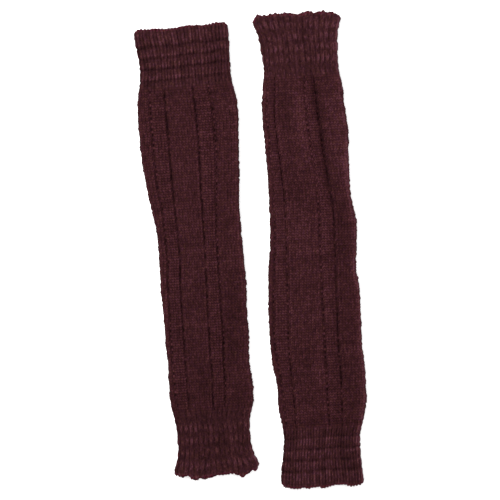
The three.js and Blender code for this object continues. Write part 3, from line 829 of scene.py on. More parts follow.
def raised(warmer, y, turn, relief, lift, side, room):
    """Points of an outer wall. relief stands out all round, lift moves the top face alone, and
    side moves the folds. Under the tube, the relief goes inwards by the given room."""
    (x, _, z), angle = section_place(warmer, y, turn)
    top_share = smooth_step(np.cos(angle))
    under_share = smooth_step(-np.cos(angle))
    under = room + soft_marks(warmer["under_creases"], x, y)
    lift = lift - sunk(warmer, x, y)
    out = relief + lift * top_share + side * np.sin(angle) ** 2 - under * under_share
    x = x + out * np.sin(angle)
    z = np.maximum(z + out * np.cos(angle), 0)
    lowest = UNDER_WALL + SLIT_HEIGHT + TOP_WALL
    z = np.where(np.cos(angle) > LEVEL_COSINE, np.maximum(z, lowest), z)
    return wall_points(warmer, y, x, z)


print(f"the slit is {SLIT_HEIGHT} mm high, and {OPEN_SLIT_HEIGHT} mm at the free edges")

# %% [markdown]
# A rib is a round ridge of one or two knit wales between sunk purl wales. Near a seam the stitches
# fade out and the cuff's ribs run on a little way into the leg, so that two pieces meet at one
# height and read as one knitted cloth. On the real thing there is no seam at all.

# %% Ribs that run on into the leg
SEAM_REACH = 3.5
LIFT_REACH = 10
RIBS_RUN_ON = 8
SEAM_RIB_SHARE = 0.4
RIB_WANDER_SIZE = 22
KNEE_RIBS = {
    "count": 26,
    "at_sides": 2,
    "height": 0.9,
    "wander": 0.16,
    "profile": [0, 0.5, 0.96, 0.88, 0.96, 0.5, 0],
}
ANKLE_RIBS = {
    "count": 14,
    "at_sides": 1.5,
    "height": 1.0,
    "wander": 0.12,
    "profile": [0, 0.14, 0.5, 0.9, 1, 0.92, 0.84, 0.92, 1, 0.9, 0.5, 0.14, 0],
}


def rib_height(ribs, rib):
    """The height of a rib, from 0 in the valley to 1 on its crest. rib counts ribs."""
    return np.interp(rib % 1, np.linspace(0, 1, len(ribs["profile"])), ribs["profile"])


def rib_turn(warmer, rib, y, ribs):
    """The turn of each place in a rib, where the ribs wander a little along the tube."""
    place, _ = section_place(warmer, y, turn_at(rib, ribs["count"], ribs["at_sides"]))
    moved = rib + ribs["wander"] * wander(place, RIB_WANDER_SIZE, seed=41)
    return turn_at(moved, ribs["count"], ribs["at_sides"])


def valleys_in_leg(warmer, y, turn, ribs, from_seam):
    """How deep the valleys between a cuff's ribs still are in the leg, 0 to SEAM_RIB_SHARE."""
    stretch = np.floor(turn).astype(int) % 4
    lengths = np.array([ribs["count"], ribs["at_sides"], ribs["count"], ribs["at_sides"]])
    starts = np.append(0, np.cumsum(lengths)[:3])
    place, _ = section_place(warmer, y, turn)
    rib = starts[stretch] + lengths[stretch] * (turn % 1)
    rib = rib - ribs["wander"] * wander(place, RIB_WANDER_SIZE, seed=41)
    return SEAM_RIB_SHARE * (1 - rib_height(ribs, rib)) * np.exp(-from_seam / RIBS_RUN_ON)


print(f"near a seam, the relief fades over {SEAM_REACH} mm")

# %% [markdown]
# Worn cloth isn't one colour. It is fuzzed and paler where it was rubbed, and darker where it was
# pressed. The shader could guess this from the shape, but wear is nothing that the shape tells, so
# each point's tone is changed by the marks of the tables. Many marks only lighten or darken an
# area to match how the real cloth looked there, so they are painted light and painted shade, not
# worn places. Many marks stand where an earlier render was lighter or darker than the photo over
# an area, so not each is wear. Hollows get painted shade as well, darker the deeper folds and
# creases sink them, and of the two folds of each leg warmer, one gets painted light and the other
# a little painted shade.

# %% Wear, painted light and painted shade
SEAM_TONE = 0.45
SEAM_TONE_SHARE = 0.25
# How far the painted light along a fold or a free edge reaches into the cloth.
RIM_LIGHT_REACH = 4
# How far round a fold the painted light and shade reach.
FOLD_LIGHT_ROUND = 0.6
HOLLOW_SHADE = 0.08


def shaded(warmer, y, turn, tone, fade):
    """The tone of the yarn, evened out a little at a seam, with painted shade in the hollows, and
    changed by the marks of the tables, which are worn places, painted light and painted shade.
    Less light gets down into a hollow, and its loops are pressed closer together. Of the two
    folds, one gets painted light and the other painted shade."""
    (x, _, _), angle = section_place(warmer, y, turn)
    left, right, _ = fold_edges(warmer, y)
    tone = between(SEAM_TONE, tone, between(1 - SEAM_TONE_SHARE, 1, fade))
    marks = soft_marks(warmer["wear"], x, y) - HOLLOW_SHADE * sunk(warmer, x, y)
    fold_light_parts = zip(warmer["rubbed_folds"], (x - left, right - x))
    painted_fold_tone = sum(strength * np.exp(-((off / RIM_LIGHT_REACH) ** 2)) for strength, off in fold_light_parts)
    on_top, on_fold = smooth_step(np.cos(angle)), smooth_step(np.cos(angle) + FOLD_LIGHT_ROUND)
    return tone + marks * on_top + painted_fold_tone * on_fold


print("marks of wear:", len(LEFT["wear"]), "on the left and", len(RIGHT["wear"]), "on the right")

# %% [markdown]
# The leg is 60 wales round. Every 15 of them hold a narrow panel of four, a purl wale, a wide
# panel of nine and a purl wale. A purl wale sinks between its neighbours, so it shows as a dark
# groove. The four grooves on top lie where the photo shows them, and the rest of the cloth
# shares out the other 40 wales round the back.

# %% Lay out the leg's wales
WALES_ROUND = 60
WALES_IN_REPEAT = 15
PURL_IN_REPEAT = (0, 5)
GROOVE_WALES = [0.5, 5.5, 15.5, 20.5, 60.5]
ROWS_A_COURSE = 4
COLUMNS_A_WALE = 4
WALE = 3.7
WALE_WANDER = 0.3


def leg_arc(warmer, y, wale, flat_start, period):
    """The length of cloth from the top face's left end to each wale."""
    columns = [smooth_row(warmer["grooves"], i + 1, y) - flat_start for i in range(4)]
    columns.append(columns[0] + period)
    wale = GROOVE_WALES[0] + (wale - GROOVE_WALES[0]) % WALES_ROUND
    arc = columns[-1]
    for i in reversed(range(4)):
        share = (wale - GROOVE_WALES[i]) / (GROOVE_WALES[i + 1] - GROOVE_WALES[i])
        part = between(columns[i], columns[i + 1], share)
        arc = np.where(wale < GROOVE_WALES[i + 1], part, arc)
    return arc


def leg_turn(warmer, y, wale):
    """The turn round the tube of each wale."""
    left, right, height = fold_edges(warmer, y)
    flat, side = right - left - height, math.pi * height / 2
    arc = leg_arc(warmer, y, wale, left + height / 2, 2 * flat + 2 * side)
    place, _ = section_place(warmer, y, turn_at(arc, flat, side))
    return turn_at(arc + WALE_WANDER * wander(place, 24, seed=3), flat, side)


print("a repeat of", WALES_IN_REPEAT, "wales, with purl wales at", PURL_IN_REPEAT)

# %% [markdown]
# Plain knit isn't even. On the narrow panels the courses stand out as small bars, one under the
# other. In a purl wale the loops lean to and fro, which looks like a braid, and each loop on its
# left stands up a little. A pattern of tiles could repeat all this, but here each place asks which
# wale and course it is in, so the knit can bend with the folds and vary from loop to loop.

# %% Describe the leg's stitches
NARROW_WALES = 4
WALES_LEFT_OF_PURL = (4, 14)
GROOVE_STARTS = [3, 10, 18, 40]
GROOVE_SHARPNESS = 1.4
BACK_GROOVE = 1.0
BACK_BRAID = 0.7
UNEVEN_GROOVES = 0.25
MEAN_BAR = 0.6
BARS_REACH = 12


def grooves_at(warmer, wale, course, y, place):
    """How deep a purl wale sinks at each place, and how its loops lean left and right in turn."""
    depths = [smooth_row(warmer["groove_depths"], i + 1, y) for i in range(4)]
    groove = np.searchsorted(GROOVE_STARTS, wale % WALES_ROUND)
    depth = np.choose(groove, [*depths, BACK_GROOVE])
    depth = depth * (1 + UNEVEN_GROOVES * wander(place, 11, seed=8))
    leans = np.where((np.floor(course) % 2 == 0) == (wale % 1 < 0.5), 1, -1)
    return depth, leans * np.choose(groove, [*warmer["groove_braids"], BACK_BRAID])


def leg_stitches(warmer, wale, course, level, y, turn):
    """What the leg is like at each place, by name: its kind of wale, loop, groove and bar."""
    across = wale % 1
    in_repeat = np.floor(wale) % WALES_IN_REPEAT
    purl = np.isin(in_repeat, PURL_IN_REPEAT)
    narrow = (in_repeat >= 1) & (in_repeat <= NARROW_WALES)
    place, _ = section_place(warmer, y, turn)
    depth, leans = grooves_at(warmer, wale, course, y, place)
    from_seam = np.minimum(y - warmer["ankle_seam"], warmer["knee_seam"] - y)
    bars = (loop_along(level) - MEAN_BAR) * smooth_step(from_seam / BARS_REACH)
    return SimpleNamespace(
        place=place,
        across=across,
        purl=purl,
        narrow=narrow,
        middle=np.where(purl, (1 - np.abs(2 * across - 1)) ** GROOVE_SHARPNESS, 0),
        beside=np.isin(in_repeat, WALES_LEFT_OF_PURL) * np.clip(2 * across - 0.5, 0, 1),
        knit=plain_stitch(across, course),
        loop=by_loop(2 * WALES_ROUND, int(course.max()), seed=5)(2 * wale, course),
        depth=depth,
        leans=leans,
        bars=bars,
        ladder=np.where(narrow, bars, 0),
    )


print("the narrow panels have bars, and the purl wales have braids")

# %% [markdown]
# This description turns into a shape and a tone. The relief is what the yarn itself does, and the
# lift is how the whole cloth rises, since knit panels curl up between purl wales. The tone follows
# the relief as well: painted shade down in the grooves, between the legs of the Vs and where the
# loops meet, and painted highlight on the raised loops and purl bumps, with each loop's own dye
# and streaks on top. How much each feature lightens the yarn is in one list, which was matched to
# the contrast of the photo.

# %% Shape and tone of the leg's stitches
PURL_BUMP = 0.4
BRAID_LIFT = 0.3
BRAID_ZIGZAG = 0.5
UNEVEN_LOOPS = 0.1
LADDER_RISE = 0.3
PANEL_CROWN = 0.35
WIDE_WALES = 9
UNEVEN_CLOTH = [(0.12, 14, 11), (0.1, 7, 12)]  # height, size and seed of each wander
STREAK_LENGTH = 8
MEAN_BRAID = 0.3
DARKEST_DEPTH = 1.4
# stitch, purl, beside and groove are painted highlight on raised loops and painted shade in hollows;
# loop, patch and streak are the dye's own.
LEG_TONES = {
    "mean": 0.405,
    "stitch": 0.48,
    "loop": 0.14,
    "bar": 0.115,
    "ladder": 0.16,
    "beside": 0.16,
    "patch": 0.02,
    "streak": 0.03,
    "groove": -0.42,
    "purl": 0.26,
    "lean": 0.22,
    "purl loop": 0.1,
}


def leg_relief(cloth, course):
    """How far the leg's stitches, bars and grooves stand out."""
    purled = PURL_BUMP * loop_along(course + 0.5) + BRAID_ZIGZAG * cloth.leans * (cloth.across != 0)
    relief = LEG_STITCH * cloth.knit * np.where(cloth.purl, 1 - cloth.middle, 1)
    relief = relief + cloth.middle * (purled - cloth.depth)
    relief = relief + BRAID_LIFT * cloth.beside * loop_along(course)
    return relief + UNEVEN_LOOPS * cloth.loop * cloth.knit + LADDER_RISE * cloth.ladder


def leg_lift(cloth, wale):
    """How far the crowned panels and the cloth's unevenness lift the top face."""
    narrow_share = (wale % (NARROW_WALES + 1) - 1) / NARROW_WALES
    wide_share = (wale % WALES_IN_REPEAT - PURL_IN_REPEAT[1] - 1) / WIDE_WALES
    in_panel = np.clip(np.where(cloth.narrow, narrow_share, wide_share), 0, 1)
    crown = PANEL_CROWN * np.where(cloth.purl, 0, np.sin(math.pi * in_panel))
    return crown + sum(height * wander(cloth.place, *rest) for height, *rest in UNEVEN_CLOTH)


def mixed_tone(shares, parts):
    """A mean tone, changed by each part times its share."""
    return shares["mean"] + sum(shares[name] * part for name, part in parts.items())


def leg_tone(cloth, course):
    """The tone of the leg's yarn: painted highlight on the loops, painted shade in the grooves."""
    x, y, z = cloth.place
    parts = {
        "stitch": cloth.knit - MEAN_STITCH,
        "loop": cloth.loop,
        "bar": cloth.bars,
        "ladder": cloth.ladder,
        "beside": cloth.beside * (loop_along(course) - MEAN_BRAID),
        "patch": wander(cloth.place, 10, seed=21),
        "streak": wander((x / STREAK_LENGTH, y, z), 4.5, seed=22),
        "groove": cloth.middle * np.clip(cloth.depth, 0, DARKEST_DEPTH),
        "purl": cloth.middle * loop_along(course + 0.5),
        "lean": cloth.middle * cloth.leans,
        "purl loop": cloth.middle * cloth.loop,
    }
    return mixed_tone(LEG_TONES, parts)


print("the tone of a leg is", LEG_TONES["mean"], "on average")

# %% [markdown]
# Now the grid of the leg's outer wall can be knitted. Its rows go round the tube and follow the
# Vs, and its columns go along the wales, so one grid holds all panels and grooves without a seam.
# Panels could be pieces of their own, but on the real thing they are one cloth.

# %% Knit the legs
RAGGED_FOLD = 0.5
UNEVEN_FOLD = 0.4
EASE_COURSES = 2
# Painted shade in the cuffs' rib valleys where they run on into the leg.
PAINTED_VALLEY_SHADE = -0.3


def ragged_folds(course, turn, seed):
    """How far each loop at the left and the right fold stands out or back."""
    return RAGGED_FOLD * by_loop(2, int(course.max()), seed)(turn / 2, course)


def end_ease(course, courses):
    """How much of the Vs' zigzag the rows have at each course, less near their level ends."""
    return np.clip(np.minimum(course, courses - course) / EASE_COURSES, 0, 1)


def leg_grid(warmer):
    """The y, wale, course, level and turn of each point of the leg's outer wall. course follows
    the Vs, and level runs straight across them."""
    y_from, y_to = warmer["ankle_seam"], warmer["knee_seam"]
    courses = round((y_to - y_from) / COURSE)
    course = (np.arange(courses * ROWS_A_COURSE + 1) / ROWS_A_COURSE)[:, None]
    count = WALES_ROUND * COLUMNS_A_WALE
    wale = (warmer["first_fine_wale"] + np.arange(count) / COLUMNS_A_WALE)[None, :]
    purl = np.isin(np.floor(wale) % WALES_IN_REPEAT, PURL_IN_REPEAT)
    zigzag = np.where(purl, V_RISE, v_zigzag(wale % 1)) - V_RISE / 2
    y = y_from + (y_to - y_from) * (course + zigzag * end_ease(course, courses)) / courses
    wale, course = wale + 0 * y, course + 0 * y
    level = (y - y_from) / (y_to - y_from) * courses
    return y, wale, course, level, leg_turn(warmer, y, wale)


def knit_leg(warmer):
    """The leg's shell, with its panels, grooves, folds and stitches."""
    y_from, y_to = warmer["ankle_seam"], warmer["knee_seam"]
    y, wale, course, level, turn = leg_grid(warmer)
    cloth = leg_stitches(warmer, wale, course, level, y, turn)
    side = UNEVEN_FOLD * wander(cloth.place, 8, seed=31) + ragged_folds(course, turn, seed=6)
    from_seam = np.minimum(y - y_from, y_to - y)
    fade = smooth_step(from_seam / SEAM_REACH)
    lift = leg_lift(cloth, wale) * smooth_step(from_seam / LIFT_REACH)
    at_ankle = valleys_in_leg(warmer, y, turn, ANKLE_RIBS, y - y_from)
    at_knee = valleys_in_leg(warmer, y, turn, KNEE_RIBS, y_to - y)
    relief = leg_relief(cloth, course) * fade
    relief = relief - ANKLE_RIBS["height"] * at_ankle - KNEE_RIBS["height"] * at_knee
    room = LEG_STITCH + BRAID_LIFT
    outer = raised(warmer, y, turn, relief, lift, side * fade, room * fade)
    tone = leg_tone(cloth, course) + PAINTED_VALLEY_SHADE * (at_ankle + at_knee)
    tone = shaded(warmer, y, turn, tone, fade)
    yarn_place = np.stack([wale * WALE, course * COURSE, 0 * course], -1)
    sparse = np.arange(wale.shape[1]) > warmer["fine_wales"] * COLUMNS_A_WALE
    inner = inner_wall(warmer, y_from, y_to, turn[0, ::COLUMNS_A_WALE])
    name = f"{warmer['name']}_leg_knit"
    return knitted_piece(name, warmer, outer, inner, sparse, tone, yarn_place, (0, -1), leg_yarn)


legs = [knit_leg(warmer) for warmer in (LEFT, RIGHT)]

# %% [markdown]
# A cuff is knitted to the leg and ends in a free edge, where each rib bulges a little. Its rows
# are numbered from the seam outwards. The last rings round the cloth over to its inside.

# %% Knit a cuff
EDGE_RIM_STEPS = [(0.18, 0.35), (0.5, 0.5), (0.82, 0.3)]
CHAIN_ROOM = 1.2
CHAIN_SINK = 0.4
CUFF_ROOM = 0.05
LOOP_DIP = 0.3
SCALLOP_REACH = 1.6
SCALLOP_MEAN = 0.4
UNEVEN_SCALLOP = 0.4
UNEVEN_STEP = 0.3


def ribs_round(ribs):
    """How many ribs a cuff has all round."""
    return round(2 * ribs["count"] + 2 * ribs["at_sides"])


def free_rim(warmer, outer_ring, y_end, turns, outwards):
    """Rings that round the cloth over from the outer wall's end to the inner wall."""
    inner_ring = slit_points(warmer, np.full_like(turns, y_end), turns)
    rings = []
    for share, bulge in EDGE_RIM_STEPS:
        ring = between(outer_ring, inner_ring, share)
        ring[:, 1] = outer_ring[:, 1] + outwards * bulge
        rings.append(ring)
    return np.stack(rings)


def rib_loops(ribs, rib, course, loops_a_rib, seed):
    """The height of the ribs at each place, with a number of its own for each rib and loop."""
    all_ribs = ribs_round(ribs)
    own = by_loop(all_ribs, 0, seed)(rib, 0 * rib)
    loop = by_loop(loops_a_rib * all_ribs, int(course.max()), seed + 1)(loops_a_rib * rib, course)
    return rib_height(ribs, rib), own, loop


def rib_relief(ribs, share, profile, course, uneven):
    """How far a rib's loops stand out. Its valleys sink by a share of its height."""
    dip = LOOP_DIP * profile * (1 - loop_along(course))
    return UNEVEN_LOOPS * uneven * profile - ribs["height"] * share * (1 - profile) - dip


def knit_cuff(name, warmer, free_end, seam, layout):
    """A cuff's shell, and the line along the middle of its free rim. layout has its ribs, and
    functions for its zigzag and its relief."""
    outwards = 1 if free_end > seam else -1
    free_end = free_end - outwards * CHAIN_ROOM
    courses = round(abs(free_end - seam) / COURSE)
    course = np.linspace(0, courses, courses * ROWS_A_COURSE + 1)[:, None]
    all_ribs = ribs_round(layout["ribs"])
    rib = (np.arange(all_ribs * layout["columns"]) / layout["columns"])[None, :]
    across = rib % 1
    zigzag = (layout["zigzag"](across) - V_RISE / 2) * end_ease(course, courses)
    loose = by_loop(all_ribs, 0, layout["seed"])(rib, 0 * rib)
    arch = (1 + UNEVEN_SCALLOP * loose) * np.sin(math.pi * across) ** 2
    bulge = layout["scallop"] * (arch + UNEVEN_STEP * loose - SCALLOP_MEAN)
    at_edge = smooth_step(1 - (courses - course) / SCALLOP_REACH)
    y = seam + (free_end - seam) * (course + zigzag) / courses + outwards * bulge * at_edge
    rib, course = rib + 0 * y, course + 0 * y
    turn = rib_turn(warmer, rib, y, layout["ribs"])
    relief, lift, side, tone = layout["relief"](warmer, rib, course, y, turn)
    fade = smooth_step(np.abs(y - seam) / SEAM_REACH)
    relief = relief * between(SEAM_RIB_SHARE, 1, fade)
    lift = lift * smooth_step(np.abs(y - seam) / LIFT_REACH)
    outer = raised(warmer, y, turn, relief, lift, side * fade, CUFF_ROOM * fade)
    rim = free_rim(warmer, outer[-1], free_end, turn[-1], outwards)
    tone = shaded(warmer, y, turn, tone, fade)
    yarn_place = np.stack([rib * layout["pitch"], course * COURSE, 0 * course], -1)
    tone = np.concatenate([tone, np.repeat(tone[-1:], len(rim), 0)])
    yarn_place = np.concatenate([yarn_place, np.repeat(yarn_place[-1:], len(rim), 0)])
    inner = inner_wall(warmer, seam, free_end, turn[0, :: layout["columns"]])
    outer = np.concatenate([outer, rim])
    sparse = np.zeros(outer.shape[1], bool)
    cuff = knitted_piece(name, warmer, outer, inner, sparse, tone, yarn_place, (0,), cuff_yarn)
    return cuff, rim[len(rim) // 2] - [0, outwards * CHAIN_SINK, 0]


def knit_pair(part, layout):
    """The knee or the ankle cuffs of both leg warmers, each with its rim line."""
    return [
        knit_cuff(f"{w['name']}_{part}_rib", w, w[f"{part}_end"], w[f"{part}_seam"], layout)
        for w in (LEFT, RIGHT)
    ]


print("a cuff's free edge leaves", CHAIN_ROOM, "mm for the chain that casts it off")

# %% [markdown]
# The knee cuff is a fine rib, one knit wale and one purl wale in turn, so its ribs are only
# 4 mm apart. Four rows of elastic yarn pinch it. They could be bands of their own, but they lie
# hidden in the cloth, so only their pinch is made. The cloth swells just past each row and slopes
# away towards the next one, and every second valley between the ribs is shallower.

# %% Knit the knee cuffs
KNEE_SHALLOW_SHARE = 0.5
KNEE_PUFF = 0.7
KNEE_PUFF_STEPS = [(0, 0), (0.22, 1), (0.62, 0.55)]
ELASTIC_PINCH = 0.3
ELASTIC_HALF_WIDTH = 1.1
ELASTIC_SIDE_PINCH = 0.9
UNEVEN_ROW = 0.5
MEAN_PINCH = 0.8
KNEE_MEAN_RIB = 0.55
KNEE_MEAN_PUFF = 0.5
UNEVEN_PINCH = 0.3
# rib, puff, pinch and dip paint light on ribs and puffs and shade in valleys, elastic rows and loop
# dips; loop, own and patch are the dye's own.
KNEE_TONES = {
    "mean": 0.425,
    "rib": 0.4,
    "puff": 0.1,
    "pinch": -0.15,
    "loop": 0.15,
    "own": 0.09,
    "dip": -0.14,
    "patch": 0.03,
}


def knee_puff(warmer, y):
    """How full the cuff is at each y, 0 at the elastic rows and up to 1 between them."""
    rows = [(warmer["knee_seam"], 0.5), (warmer["knee_end"], 0.3)]
    stops = [*warmer["knee_elastic"], warmer["knee_end"]]
    for start, stop in zip(stops[:-1], stops[1:]):
        rows += [(between(start, stop, share), height) for share, height in KNEE_PUFF_STEPS]
    return smooth_row(rows, 1, y)


def knee_relief(warmer, rib, course, y, turn):
    """The knee cuff's fine rib, pinched by elastic rows; its tone paints light and shade on the
    relief.
    """
    profile, own, loop = rib_loops(KNEE_RIBS, rib, course, loops_a_rib=2, seed=51)
    share = np.where(np.round(rib) % 2 == 1, KNEE_SHALLOW_SHARE, 1)
    place, _ = section_place(warmer, y, turn)
    level_y = y - warmer["knee_row_slope"] * place[0]
    row_y = level_y + UNEVEN_ROW * (own + wander(place, 26, seed=55))
    pinch = sum(np.exp(-(((row_y - r) / ELASTIC_HALF_WIDTH) ** 2)) for r in warmer["knee_elastic"])
    pinch = pinch * (MEAN_PINCH + UNEVEN_PINCH * wander(place, 12, seed=53))
    puff = knee_puff(warmer, row_y)
    relief = rib_relief(KNEE_RIBS, share, profile, course, loop + own)
    lift = -KNEE_PUFF * (1 - puff) - ELASTIC_PINCH * pinch
    side = ragged_folds(course, turn, seed=56) - ELASTIC_SIDE_PINCH * pinch
    parts = {
        "rib": (profile - KNEE_MEAN_RIB) * between(0.4, 1, share) * between(0.5, 1.2, puff),
        "puff": puff - KNEE_MEAN_PUFF,
        "pinch": pinch * between(1.15, 0.75, profile),
        "loop": loop,
        "own": own,
        "dip": 1 - loop_along(course),
        "patch": wander(place, 11, seed=54),
    }
    return relief, lift, side, mixed_tone(KNEE_TONES, parts)


KNEE_LAYOUT = {
    "ribs": KNEE_RIBS,
    "columns": 6,
    "pitch": 4.1,
    "scallop": 1.0,
    "seed": 61,
    "zigzag": v_zigzag,
    "relief": knee_relief,
}
knee_cuffs = knit_pair("knee", KNEE_LAYOUT)

# %% [markdown]
# The ankle cuff is a broad rib of two knit and two purl wales. It draws in more, and between
# its elastic rows every rib puffs up, which gives it the look of a waffle. Its free edge was
# cast off loosely, so it flares and ripples up off the table.

# %% Knit the ankle cuffs
ANKLE_PUFF = 0.8
ANKLE_SIDE_PUFF = 0.5
EDGE_RIPPLES = 5
EDGE_RIPPLE_LIFT = 1.1
RIPPLE_REACH = 14
UNEVEN_RIB_ROW = 0.6
UNEVEN_PUFF_ROW = 0.7
UNEVEN_PUFF = 0.2
ANKLE_MEAN_RIB = 0.6
ANKLE_MEAN_PUFF = 0.4
# rib, puff and dip paint light on ribs and puffs and shade in valleys and loop dips; loop, top loop,
# own and patch are the dye's own.
ANKLE_TONES = {
    "mean": 0.445,
    "rib": 0.22,
    "puff": 0.11,
    "loop": 0.14,
    "top loop": 0.04,
    "own": 0.045,
    "dip": -0.15,
    "patch": 0.03,
    "painted edge light": 0.12,
}


def broad_zigzag(across):
    """The V of each of a rib's two knit wales, with level purl between the ribs."""
    return V_RISE * np.interp(across, np.linspace(0, 1, 7), [1, 1, 0, 1, 0, 1, 1])


def ankle_puff(warmer, y):
    """How full the cuff is at each y, 1 along the puffs and 0 in the hollows between them."""
    puffs = warmer["ankle_puffs"]
    pitch = puffs[0] - puffs[1]
    rows = [(warmer["ankle_seam"], 0.4), (puffs[0] + pitch / 2, 0), (warmer["ankle_end"], 0.2)]
    rows += [(puff, 1) for puff in puffs]
    rows += [(puff + pitch / 2, 0) for puff in puffs[1:]]
    rows.append(((puffs[-1] + warmer["ankle_end"]) / 2, 0.3))
    return smooth_row(rows, 1, y)


def ankle_relief(warmer, rib, course, y, turn):
    """The ankle cuff's broad rib, puffs and rippled free edge, with painted light and shade in its
    tone.
    """
    profile, own, loop = rib_loops(ANKLE_RIBS, rib, course, loops_a_rib=4, seed=71)
    place, _ = section_place(warmer, y, turn)
    row_y = y + UNEVEN_RIB_ROW * own + UNEVEN_PUFF_ROW * wander(place, 24, seed=75)
    puff = ankle_puff(warmer, row_y) * (1 + UNEVEN_PUFF * wander(place, 10, seed=73))
    relief = rib_relief(ANKLE_RIBS, 1, profile, course, loop + own)
    from_edge = y - warmer["ankle_end"]
    wave = np.sin(np.clip(turn, 0, 1) * EDGE_RIPPLES * math.pi) ** 2
    ripple = EDGE_RIPPLE_LIFT * wave * np.clip(1 - from_edge / RIPPLE_REACH, 0, 1)
    lift = ripple - ANKLE_PUFF * (1 - puff) * between(0.4, 1, profile)
    side = ragged_folds(course, turn, seed=76) + ANKLE_SIDE_PUFF * (puff - 0.5)
    parts = {
        "rib": (profile - ANKLE_MEAN_RIB) * between(0.35, 1.35, puff),
        "puff": puff - ANKLE_MEAN_PUFF,
        "loop": loop,
        "top loop": loop * profile,
        "own": own,
        "dip": 1 - loop_along(course),
        "patch": wander(place, 11, seed=74),
        # Painted light along the free edge, where light shines through the thin cloth.
        "painted edge light": np.exp(-((from_edge / RIM_LIGHT_REACH) ** 2)),
    }
    return relief, lift, side, mixed_tone(ANKLE_TONES, parts)


ANKLE_LAYOUT = {
    "ribs": ANKLE_RIBS,
    "columns": 12,
    "pitch": 6.4,
    "scallop": 1.7,
    "seed": 81,
    "zigzag": broad_zigzag,
    "relief": ankle_relief,
}
ankle_cuffs = knit_pair("ankle", ANKLE_LAYOUT)

# %% [markdown]
# A knitted edge would run if it weren't cast off. That lays a chain of yarn along it, which shows
# as a fine bumpy line. A chain looks much like two strands twisted round each other, so each
# edge gets two tubes that wind unevenly round the middle of its rim and stand out from it as
# small teeth. The edge is pulled thin, so that light gets through and its yarn looks redder. That
# light is painted into the chain's colours, which are redder and lighter, and into its high tone.

# %% Cast off the free edges
CHAIN_STITCH = 8.4
CHAIN_RADIUS = 0.55
CHAIN_TOOTH = 0.9
CHAIN_UNEVEN = 0.5
STRAND_RADIUS = 0.65
STRAND_SIDES = 6
POINTS_A_STITCH = 16
# The chain's high tone is painted light, for light shining through the thin edge.
CHAIN_LIGHT_TONE = 0.55
ALONG_TUBE = np.array([0.0, 1.0, 0.0])


def unit(vectors):
    """Vectors brought to length 1."""
    return vectors / np.linalg.norm(vectors, axis=-1, keepdims=True)


def even_points(ring, count):
    """Points at even distances along a closed line."""
    closed = np.vstack([ring, ring[:1]])
    distance = np.append(0, np.cumsum(np.linalg.norm(np.diff(closed, axis=0), axis=1)))
    spots = np.arange(count) * distance[-1] / count
    return np.stack([np.interp(spots, distance, closed[:, i]) for i in range(3)], -1)


def outwards_of(line):
    """The direction at right angles to a closed line and to the tube that it runs round."""
    return unit(np.cross(np.roll(line, -1, 0) - np.roll(line, 1, 0), ALONG_TUBE))


def strand(centre, stitches, start):
    """The points and faces of one strand that winds round a closed line."""
    phase = 2 * math.pi * (start + stitches * np.arange(len(centre)) / len(centre))
    place = tuple(centre[:, i] for i in range(3))
    uneven = 1 + CHAIN_UNEVEN * np.clip(wander(place, 9, seed=84), -1, 1)
    across = CHAIN_RADIUS * uneven * np.cos(phase)
    along = CHAIN_TOOTH * uneven * np.sin(phase)
    line = centre + across[:, None] * outwards_of(centre) + along[:, None] * ALONG_TUBE
    ahead = unit(np.roll(line, -1, 0) - np.roll(line, 1, 0))
    side = outwards_of(line)
    up = np.cross(side, ahead)
    angle = 2 * math.pi * np.arange(STRAND_SIDES)[None, :, None] / STRAND_SIDES
    round_it = np.cos(angle) * side[:, None] + np.sin(angle) * up[:, None]
    points = line[:, None] + STRAND_RADIUS * round_it
    points[..., 2] = np.maximum(points[..., 2], 0)
    ids = np.arange(len(line) * STRAND_SIDES).reshape(len(line), STRAND_SIDES)
    after, beside = np.roll(ids, -1, 0), np.roll(ids, -1, 1)
    faces = np.stack([ids, after, np.roll(after, -1, 1), beside], -1).reshape(-1, 4)
    return points.reshape(-1, 3), faces


def plain_piece(name, points, faces, tone, material):
    """A closed mesh in metres with one tone of yarn."""
    mesh = bpy.data.meshes.new(name)
    mesh.from_pydata(points.tolist(), [], faces)
    add_attribute(mesh, "tone", np.full(len(points), tone))
    if signed_volume(mesh) < 0:
        mesh.flip_normals()
    mesh.materials.append(material)
    print(f"{name}: {len(mesh.loop_triangles)} triangles")
    return put(name, mesh)


def cast_off(name, warmer, rim):
    """The chain of yarn along a free rim."""
    length = np.linalg.norm(rim - np.roll(rim, 1, 0), axis=1).sum()
    stitches = round(length / CHAIN_STITCH)
    centre = even_points(rim, stitches * POINTS_A_STITCH)
    first, faces = strand(centre, stitches, 0)
    second, _ = strand(centre, stitches, 0.5)
    points = pair_place(warmer, np.vstack([first, second]))
    faces = np.vstack([faces, faces + len(first)]).tolist()
    chain = plain_piece(name, points, faces, CHAIN_LIGHT_TONE, edge_yarn_painted_light)
    chain.data.shade_smooth()
    return chain


knee_chains, ankle_chains = (
    [cast_off(f"{w['name']}_{part}_chain", w, rim) for w, (_, rim) in zip((LEFT, RIGHT), cuffs)]
    for part, cuffs in (("knee", knee_cuffs), ("ankle", ankle_cuffs))
)

# %% [markdown]
# Worn wool is fuzzy. Loose fibre ends lie over the stitches and stand off at the folds, where
# they break up the outline. A hair system could make them, but a library part has to be a plain
# mesh. So each one is a thin bent tube on a random point of the outside. Real fibres are 0.02 mm
# thick and far too many, so one here is drawn coarser and stands for a tuft.

# %% Add stray fibres
FIBRES_A_PIECE = {"leg": 2600, "cuff": 700}
FIBRE_RADIUS = 0.06 * MM
FIBRE_TAPER = np.array([1, 1, 0.8, 0.4])
FIBRE_LENGTHS = (1.2 * MM, 4.0 * MM)
FIBRE_RISES = (0.2 * MM, 1.1 * MM)
RISE_SHARES = (0.3, 1)
FIBRE_BENDS = (-0.4, 0.4)
FIBRE_ARCH = 0.6
FIBRE_ROOT = 0.15 * MM
FIBRE_SIDES = 3
